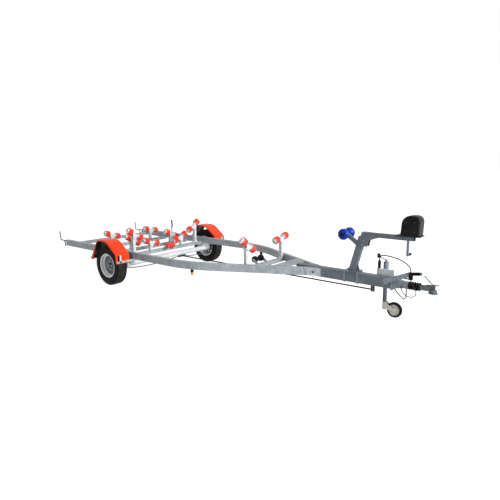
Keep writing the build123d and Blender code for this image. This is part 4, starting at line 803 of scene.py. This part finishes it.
dress(dull_zinc, "winch_post", "winch_arm")
STRAP_PLACES = (3.283, 3.448)
STRAP_SIDE = 0.0540
STRAP_TOP = 0.514
STRAP_FOOT = 0.3655
STRAP_CORNERS = np.array(((-STRAP_SIDE, STRAP_TOP), (-STRAP_SIDE, STRAP_FOOT), (STRAP_SIDE, STRAP_FOOT),
                          (STRAP_SIDE, STRAP_TOP)))
STRAP_BENDS = (0.010, 0.010)
STRAP_SECTION = (0.011, 0.0033, 0.4)
STRAP_NUT_Z = 0.498
STRAP_NUT = (0.016, 0.010)
CHEEK_BOLTS = ((3.500, 0.862), (3.486, 0.818))
CHEEK_BOLT = (0.021, 0.012)
CHEEK_SIDE = 0.033
ARM_Z = 0.940
ARM_REAR = 3.476
ARM_FRONT = 4.062
ARM_CAP = (0.0235, 0.0235, 0.004)
ARM_CAP_POWER = 0.25


def flat_bar(line, origin, u, v, half, thick, power):
    """Flat bar: a superellipse section carried along a line, each end closed by drawing its ring together."""
    turn = np.linspace(0.0, 2 * pi, 24, endpoint=False)
    side = half * squared(np.cos(turn), power)
    rise = thick * squared(np.sin(turn), power)
    bar = carried(line, origin, u, v, side, rise)
    tips = [np.broadcast_to(bar[k].mean(axis=0), bar[:1].shape) for k in (0, -1)]
    return np.concatenate([tips[0], bar, tips[1]]), False, True


straps, strap_nuts, cheek_bolts = [], [], []
strap_line = bent_line(STRAP_CORNERS, STRAP_BENDS, steps=8)
for x in STRAP_PLACES:
    straps.append(flat_bar(strap_line, at(x, 0.0, 0.0), LEFT, UP, *STRAP_SECTION))
    for y in (-STRAP_SIDE, STRAP_SIDE):
        strap_nuts += hexagon(at(x, y, STRAP_NUT_Z), UP, *STRAP_NUT)
for x, z in CHEEK_BOLTS:
    for sign in (-1.0, 1.0):
        cheek_bolts += hexagon(at(x, sign * CHEEK_SIDE, z), (0, sign, 0), *CHEEK_BOLT)
skin("post_straps", straps, "chassis", weathered)
skin("post_strap_nuts", strap_nuts, "chassis", weathered)
skin("cheek_bolts", cheek_bolts, "chassis", weathered)
arm_caps = [pad(at(ARM_REAR, 0.0, ARM_Z), UP, LEFT, *ARM_CAP, power=ARM_CAP_POWER),
            pad(at(ARM_FRONT, 0.0, ARM_Z), LEFT, UP, *ARM_CAP, power=ARM_CAP_POWER)]
skin("arm_caps", arm_caps, "chassis", black_rubber)


# Winch: black cover over drum and gears, on a steel plate, with a flat zinc-coated crank.
# The cover is moulded with a fine leather-like grain and a raised panel on each side; the grip is plastic.

winch_black = finish("winch_black", moulded((0.004, 0.004, 0.005), (0.011, 0.011, 0.012)),
                     Specular_IOR_Level=DULL, Coat_Weight=0.06)
dark_steel = finish("dark_steel", zinc((0.022, 0.024, 0.028), (0.085, 0.092, 0.100)), Metallic=0.3)
dress(winch_black, "winch_base")
dress(weathered, "winch_crank")
WINCH_SIDE = 0.075
COVER_CORNERS = np.array(((3.928, 0.975), (3.944, 1.186), (4.134, 1.186), (4.126, 0.975)))
COVER_BENDS = (0.094, 0.066)
COVER_FOOT = np.array((4.030, 0.975))
COVER_SHOULDER = 0.016
COVER_FACE = 0.84
NEAR_PANEL = (0.058, 0.064, 0.004)
FAR_PANEL = (0.054, 0.052, 0.0025)
PANEL_POWER = 0.55
SCREW_PLACES = ((3.992, 1.022), (4.078, 1.022), (3.992, 1.118), (4.078, 1.118))
SCREW_OUT = 0.0035
SCREW = (0.008, 0.003)
CRANK_GRIP_RADII = (0.0, 0.0120, 0.0138, 0.0150, 0.0156, 0.0150, 0.0140, 0.0138, 0.0100, 0.0)
CRANK_GRIP_STATIONS = (0.0935, 0.0935, 0.098, 0.115, 0.140, 0.165, 0.178, 0.182, 0.186, 0.187)


def cover_rings(origin):
    """Dome: the side outline drawn to its foot's middle over quarter-round shoulders and flat side faces."""
    outline = bent_line(COVER_CORNERS, COVER_BENDS, steps=18)[0] - COVER_FOOT
    turn = np.linspace(0.0, pi / 2, 9)
    share = np.concatenate([[0.0], COVER_FACE + (1.0 - COVER_FACE) * np.sin(turn)])
    side = np.concatenate([[WINCH_SIDE], WINCH_SIDE - COVER_SHOULDER * (1.0 - np.cos(turn))])
    share, side = np.concatenate([share, share[::-1]]), np.concatenate([side, -side[::-1]])
    flat = COVER_FOOT + outline[:, None] * share[None, :, None]
    grid = np.stack([flat[..., 0], np.broadcast_to(side, flat.shape[:2]), flat[..., 1]], axis=-1)
    return origin + grid, True, False


skin("winch_dome", [cover_rings(at(0.0, 0.0, 0.0))], "chassis", winch_black,
     replaces=("winch_cover",))
panels = [pad(at(4.034, -WINCH_SIDE, 1.070), FORWARD, UP, *NEAR_PANEL, power=PANEL_POWER),
          pad(at(4.040, WINCH_SIDE, 1.082), UP, FORWARD, *FAR_PANEL, power=PANEL_POWER)]
skin("winch_panels", panels, "chassis", winch_black)
panel_screws = []
for x, z in SCREW_PLACES:
    panel_screws += hexagon(at(x, -WINCH_SIDE - SCREW_OUT, z), RIGHT, *SCREW)
skin("winch_screws", panel_screws, "chassis", dark_steel)
crank_grip = spun(CRANK_GRIP_RADII, CRANK_GRIP_STATIONS, at(3.962, 0.0, 0.738), LEFT, 32)
skin("crank_grip", [crank_grip], "winch_crank", black_rubber)


# Hitch: overrun housing, bellows, ball coupling and brake lever.
# Castings and pressings with a dull dark zinc coat; bellows, grip and lock are black rubber and plastic.

cast_dark = finish("cast_dark", zinc((0.035, 0.042, 0.052), (0.15, 0.17, 0.19)), Metallic=0.3)
dress(weathered, "hitch_housing", "handbrake_lever", "cable_hanger")
dress(cast_dark, "coupling_head")
BELLOWS_FOLDS = 5
BELLOWS_DEPTH = 0.012
BELLOWS_BORE = 0.0255
HANDLE_KNEE = 0.092
HANDLE_BEND = 0.022
HANDLE_SECTION = (0.014, 0.0048, 0.5)
LEVER_Y = -0.080
LEVER_GRIP_RUN = (0.122, 0.0, 0.018)
LEVER_GRIP_RADII = (0.0, 0.0185, 0.0192, 0.0180, 0.0186, 0.0180, 0.0186, 0.0180, 0.0184, 0.0170, 0.0120, 0.0)
LEVER_GRIP_STATIONS = (0.0, 0.0, 0.012, 0.026, 0.040, 0.054, 0.068, 0.082, 0.100, 0.120, 0.131, 0.134)
LEVER_LOCK = (0.0195, 0.0185, 0.0318)
RATCHET_RADIUS = 0.0075
RATCHET_LENGTH = 0.064


def bellows_rings():
    """Bellows: the radius dips between ridges by a power of the cosine's size; a plain bore closes it."""
    low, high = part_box("bellows")
    length = high[0] - low[0]
    fold = np.linspace(0.0, 1.0, BELLOWS_FOLDS * 12 + 1)
    ridge = (high[2] - low[2]) / 2 - BELLOWS_DEPTH * np.abs(np.cos(pi * BELLOWS_FOLDS * fold)) ** 1.6
    radius = np.concatenate([[BELLOWS_BORE], ridge, [BELLOWS_BORE]])
    along = np.concatenate([[0.0], fold * length, [length]])
    return spun(radius, along, (low[0], 0.0, (low[2] + high[2]) / 2), FORWARD, 48, closed=True)


def coupling_bar():
    """Coupling lever: a flat bar along two runs, level over the head and then rising to the rear."""
    low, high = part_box("coupling_handle")
    corners = np.array(((high[0] - 0.002, low[2] + 0.005), (low[0] + HANDLE_KNEE, low[2] + 0.006),
                        (low[0] + 0.006, high[2] - 0.004)))
    return flat_bar(bent_line(corners, (HANDLE_BEND,)), (0.0, 0.0, 0.0), FORWARD, UP, *HANDLE_SECTION)


def rounded_box(centre, half, power=0.22):
    """Superellipsoid: sines and cosines of two angles raised to a small power make a ball a rounded box."""
    tilt = np.linspace(-pi / 2, pi / 2, 25)[:, None]
    turn = np.linspace(0.0, 2 * pi, 48, endpoint=False)[None]
    x = squared(np.cos(tilt), power) * squared(np.cos(turn), power)
    y = squared(np.cos(tilt), power) * squared(np.sin(turn), power)
    z = squared(np.sin(tilt), power) * np.ones(turn.shape)
    return centre + np.stack([x, y, z], axis=-1) * half, False, True


def round_bar(radius, length, start):
    """Round bar: a plain cylinder that runs forwards from its start."""
    return spun((0.0, radius, radius, 0.0), (0.0, 0.0, length, length), start, FORWARD, 20)


skin("bellows_folds", [bellows_rings()], "chassis", black_rubber, replaces=("bellows",))
skin("coupling_lever", [coupling_bar()], "chassis", weathered, replaces=("coupling_handle",))
lever_grip = spun(LEVER_GRIP_RADII, LEVER_GRIP_STATIONS, at(4.056, LEVER_Y, 0.5755), LEVER_GRIP_RUN, 36)
skin("lever_grip", [lever_grip], "chassis", black_rubber)
lever_lock = rounded_box(at(4.073, LEVER_Y, 0.546), LEVER_LOCK)
skin("lever_lock", [lever_lock], "chassis", black_rubber)
ratchet = round_bar(RATCHET_RADIUS, RATCHET_LENGTH, at(3.996, LEVER_Y, 0.5215))
skin("lever_ratchet", [ratchet], "chassis", dark_steel)


# Support wheel: winding leg in a clamped tube, swivelling fork, solid black tyre on a cream hub.
# Weathered zinc on the tube, a plated clamp, a dark greased inner leg, pale fork plates under a dark stem
# and a black knob on the crank; the wheel turns on a plain axle.

dress(weathered, "leg_tube")
dress(plated, "leg_clamp")
dress(cast_dark, "support_leg")
KNOB_RADII = (0.0, 0.0165, 0.0182, 0.0185, 0.0178, 0.0140, 0.0080, 0.0)
KNOB_STATIONS = (0.0, 0.0, 0.004, 0.020, 0.036, 0.045, 0.0485, 0.049)
knob = spun(KNOB_RADII, KNOB_STATIONS, at(3.628, 0.112, 0.6685), UP, 32)
skin("leg_knob", [knob], "chassis", black_rubber)
hub_cream = finish("hub_cream", moulded((0.60, 0.58, 0.48), (0.70, 0.68, 0.60)))


def fork_coats(place):
    """Recipe of the fork: dark greased stem above, pale zinc on the plates below."""
    height = place.node("ShaderNodeSeparateXYZ", {"Vector": place}, output="Z")
    mottle = place.noise(30.0)
    plates = mottle.tint((0.42, 0.42, 0.38), (0.62, 0.61, 0.56))
    stem = mottle.tint((0.030, 0.032, 0.034), (0.11, 0.11, 0.11))
    return {
        "Base Color": height.steps(0.166, 0.170).tint(plates, stem),
        "Roughness": 0.4 + 0.2 * mottle,
    }


dress(finish("fork_zinc", fork_coats, Metallic=0.2), "castor_fork")
low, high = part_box("support_wheel")
SUPPORT_RADIUS = (high[2] - low[2]) / 2
SUPPORT_HALF = (high[1] - low[1]) / 2
SUPPORT_STEPS = 56
SUPPORT_CROWN = 0.020
SUPPORT_SUNK = 0.001
FELLOE = 0.064
HUB_RADII = np.array((0.0082, 0.022, 0.025, 0.028, 0.054, 0.058, FELLOE))
HUB_WEB = 0.012
HUB_STATIONS = np.array((SUPPORT_HALF, SUPPORT_HALF, SUPPORT_HALF - 0.006, HUB_WEB, HUB_WEB,
                         SUPPORT_HALF - 0.006, SUPPORT_HALF - 0.005))


def support_tyre_rings(centre):
    """Solid tyre: a crowned half circle from side to side, closed by the flat seat on the hub."""
    turn = np.linspace(-pi / 2, pi / 2, 21)
    crown = SUPPORT_RADIUS - SUPPORT_CROWN + SUPPORT_CROWN * np.cos(turn) ** 0.7
    side = (SUPPORT_HALF - SUPPORT_SUNK) * np.sin(turn)
    radius = np.concatenate([[FELLOE], crown, [FELLOE]])
    along = np.concatenate([[side[0]], side, [side[-1]]])
    return spun(radius, along, centre, LEFT, SUPPORT_STEPS, closed=True)


def support_hub_rings(centre):
    """Hub: bored boss, thin web and rim on one side, and the same mirrored on the other."""
    radius = np.concatenate([HUB_RADII, HUB_RADII[::-1]])
    along = np.concatenate([HUB_STATIONS, -HUB_STATIONS[::-1]])
    return spun(radius, along, centre, LEFT, SUPPORT_STEPS, closed=True)


centre = middle("support_wheel")
skin("support_tyre", [support_tyre_rings(centre)], "support_wheel", black_rubber,
     replaces=("support_wheel",))
skin("support_hub", [support_hub_rings(centre)], "support_wheel", hub_cream)


# Brake linkage and side markers.
# Dark rod in a sheath, equaliser and sheathed cables under the frame; amber lenses in black holders below
# the rails.

dress(dark_steel, "brake_linkage")
ROD_SHEATH = 0.0085
ROD_LENGTH = 3.150
MARKER_Y = 0.732
MARKER_HOLDER = (0.0188, 0.0138, 0.0205)
sheath = round_bar(ROD_SHEATH, ROD_LENGTH, at(0.440, 0.0, 0.315))
skin("rod_sheath", [sheath], "chassis", black_rubber)
amber = finish("amber", moulded((0.75, 0.20, 0.010), (0.85, 0.30, 0.03)))
dress(amber, "side_markers")
holders = [rounded_box(at(1.434, y, 0.3595), MARKER_HOLDER) for y in (-MARKER_Y, MARKER_Y)]
skin("marker_holders", holders, "chassis", black_rubber)


# Free cables: the lamp cable from the brake lever over to the parked plug, and the breakaway cable.
# A sheathed many-core lead that arches freely, and a coated wire; the plug is black rubber with a grip
# collar, parked upright on the clamp's ledge.

PLUG_RADII = (0.0, 0.0168, 0.0168, 0.0150, 0.0150, 0.0170, 0.0170, 0.0160,
              0.0125, 0.0100, 0.0088, 0.0085, 0.0)
PLUG_STATIONS = (0.0, 0.0, 0.018, 0.020, 0.029, 0.031, 0.078, 0.082, 0.087, 0.090, 0.093, 0.096, 0.096)
plug = spun(PLUG_RADII, PLUG_STATIONS, at(3.664, 0.054, 0.560), UP, 32)
plug_body = skin("plug_body", [plug], "chassis", black_rubber, replaces=("plug",))
LAMP_DIAMETER = 0.012
LAMP_ROUTE = [(4.072, -0.080, 0.5965), (4.072, -0.080, 0.620), (4.050, -0.076, 0.656), (4.006, -0.066, 0.686),
              (3.946, -0.050, 0.706), (3.884, -0.028, 0.716), (3.826, -0.006, 0.720), (3.774, 0.016, 0.720),
              (3.728, 0.036, 0.717), (3.691, 0.051, 0.711), (3.664, 0.054, 0.690), (3.664, 0.054, 0.6563)]
BREAKAWAY_DIAMETER = 0.009
BREAKAWAY_ROUTE = [
    (4.078, -0.080, 0.5158), (4.078, -0.080, 0.496), (4.098, -0.088, 0.464), (4.134, -0.095, 0.424),
    (4.144, -0.095, 0.382), (4.128, -0.093, 0.348), (4.092, -0.091, 0.330), (4.050, -0.089, 0.332),
    (4.012, -0.087, 0.352), (3.986, -0.085, 0.384), (3.972, -0.078, 0.410), (3.968, -0.064, 0.424),
    (3.968, -0.043, 0.424)]


def cable(name, route, diameter, material, node):
    """A NURBS spline through the route's control points, with a round bevel; the same spline without the
    bevel is turned into a mesh and its points read, but no length is measured from them."""
    points = np.array(route) + (AXLE_X, 0.0, 0.0)
    curve = bpy.data.curves.new(name, "CURVE")
    curve.dimensions = "3D"
    curve.bevel_depth = diameter / 2
    curve.bevel_resolution = 4
    curve.resolution_u = 8
    curve.use_fill_caps = True
    spline = curve.splines.new("NURBS")
    spline.points.add(len(points) - 1)
    spline.points.foreach_set("co", np.column_stack([points, np.ones(len(points))]).ravel())
    spline.order_u = 3
    spline.use_endpoint_u = True
    curve.materials.append(material)
    piece = bpy.data.objects.new(name, curve)
    bpy.context.scene.collection.objects.link(piece)
    bare = curve.copy()
    bare.bevel_depth = 0.0
    probe = bpy.data.objects.new(name + "_line", bare)
    line = bpy.data.meshes.new_from_object(probe)
    trace = np.empty(len(line.vertices) * 3)
    line.vertices.foreach_get("co", trace)
    bpy.data.objects.remove(probe)
    bpy.data.curves.remove(bare)
    bpy.data.meshes.remove(line)
    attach(piece, "chassis")
    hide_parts(node)


cable_black = finish("cable_black", rubber((0.010, 0.007, 0.006), (0.024, 0.018, 0.016)),
                     Specular_IOR_Level=DULL)
cable_red = finish("cable_red", moulded((0.038, 0.007, 0.005), (0.065, 0.013, 0.010)),
                   Specular_IOR_Level=DULL)
cable("lamp_lead", LAMP_ROUTE, LAMP_DIAMETER, cable_black, "lamp_cable")
cable("breakaway_wire", BREAKAWAY_ROUTE, BREAKAWAY_DIAMETER, cable_red, "breakaway_cable")


# Studio: white floor and backdrop, soft light, and the camera at the photograph's angle.
# The camera stands at the right front corner, a little above head height, with a moderately wide lens.

CAMERA_AT = (4.4808, -4.7053, 1.7428)
CAMERA_AZIMUTH = radians(39.736)
CAMERA_ELEVATION = radians(10.901)
CAMERA_ROLL = radians(-0.617)
FOCAL_PIXELS = 453.85
IMAGE_PIXELS = 500
SENSOR_MM = 36.0
CLIP_END = 200.0

scene = bpy.context.scene
scene.view_settings.view_transform = "Standard"
lens = bpy.data.cameras.new("camera")
lens.sensor_width = SENSOR_MM
lens.lens = FOCAL_PIXELS * SENSOR_MM / IMAGE_PIXELS
lens.clip_end = CLIP_END
camera = bpy.data.objects.new("camera", lens)
scene.collection.objects.link(camera)
back = Vector((sin(CAMERA_AZIMUTH) * cos(CAMERA_ELEVATION), -cos(CAMERA_AZIMUTH) * cos(CAMERA_ELEVATION),
               sin(CAMERA_ELEVATION)))
turn = back.to_track_quat("Z", "Y").to_matrix() @ Matrix.Rotation(CAMERA_ROLL, 3, "Z")
camera.matrix_world = Matrix.Translation(CAMERA_AT) @ turn.to_4x4()
scene.camera = camera


def backdrop_rays(tree):
    """One for rays that show the backdrop: from the camera, in reflections and through glass."""
    kinds = ("Is Camera Ray", "Is Glossy Ray", "Is Transmission Ray")
    camera_ray, glossy, through = [Flow(tree).node("ShaderNodeLightPath", {}, output=kind) for kind in kinds]
    return camera_ray.math("MINIMUM", camera_ray + glossy + through, 1.0)


WORLD_LIGHT = 0.41
world = bpy.data.worlds.new("studio")
world.use_nodes = True
background = world.node_tree.nodes["Background"]
shown = backdrop_rays(world.node_tree)
shown.plug(background.inputs["Color"], (1.0, 1.0, 1.0))
shown.plug(background.inputs["Strength"], WORLD_LIGHT + (1.0 - WORLD_LIGHT) * shown)
scene.world = world


def lamp(name, place, target, size, power):
    """A square soft lamp aimed at a point."""
    light = bpy.data.lights.new(name, "AREA")
    light.size = size
    light.energy = power
    holder = bpy.data.objects.new(name, light)
    aim = Vector(place) - Vector(target)
    holder.matrix_world = Matrix.Translation(place) @ aim.to_track_quat("Z", "Y").to_matrix().to_4x4()
    scene.collection.objects.link(holder)


lamp("key", place=(12.5, -1.0, 5.5), target=(0.5, 0.0, 0.4), size=4.0, power=2000.0)


def white_floor(place):
    """White to the eye and in reflections, while its own shade carries the shadow."""
    return {"Emission Color": backdrop_rays(place.tree).tint((0.0, 0.0, 0.0), (1.0, 1.0, 1.0))}


FLOOR_HALF = 60.0
floor_mesh = bpy.data.meshes.new("floor")
floor_mesh.from_pydata([(-FLOOR_HALF, -FLOOR_HALF, 0), (FLOOR_HALF, -FLOOR_HALF, 0),
                        (FLOOR_HALF, FLOOR_HALF, 0), (-FLOOR_HALF, FLOOR_HALF, 0)], [], [(0, 1, 2, 3)])
floor = bpy.data.objects.new("floor", floor_mesh)
floor_mesh.materials.append(finish("floor_white", white_floor, Base_Color=(0.55, 0.55, 0.55), Roughness=0.9,
                                   Emission_Strength=0.80))
scene.collection.objects.link(floor)
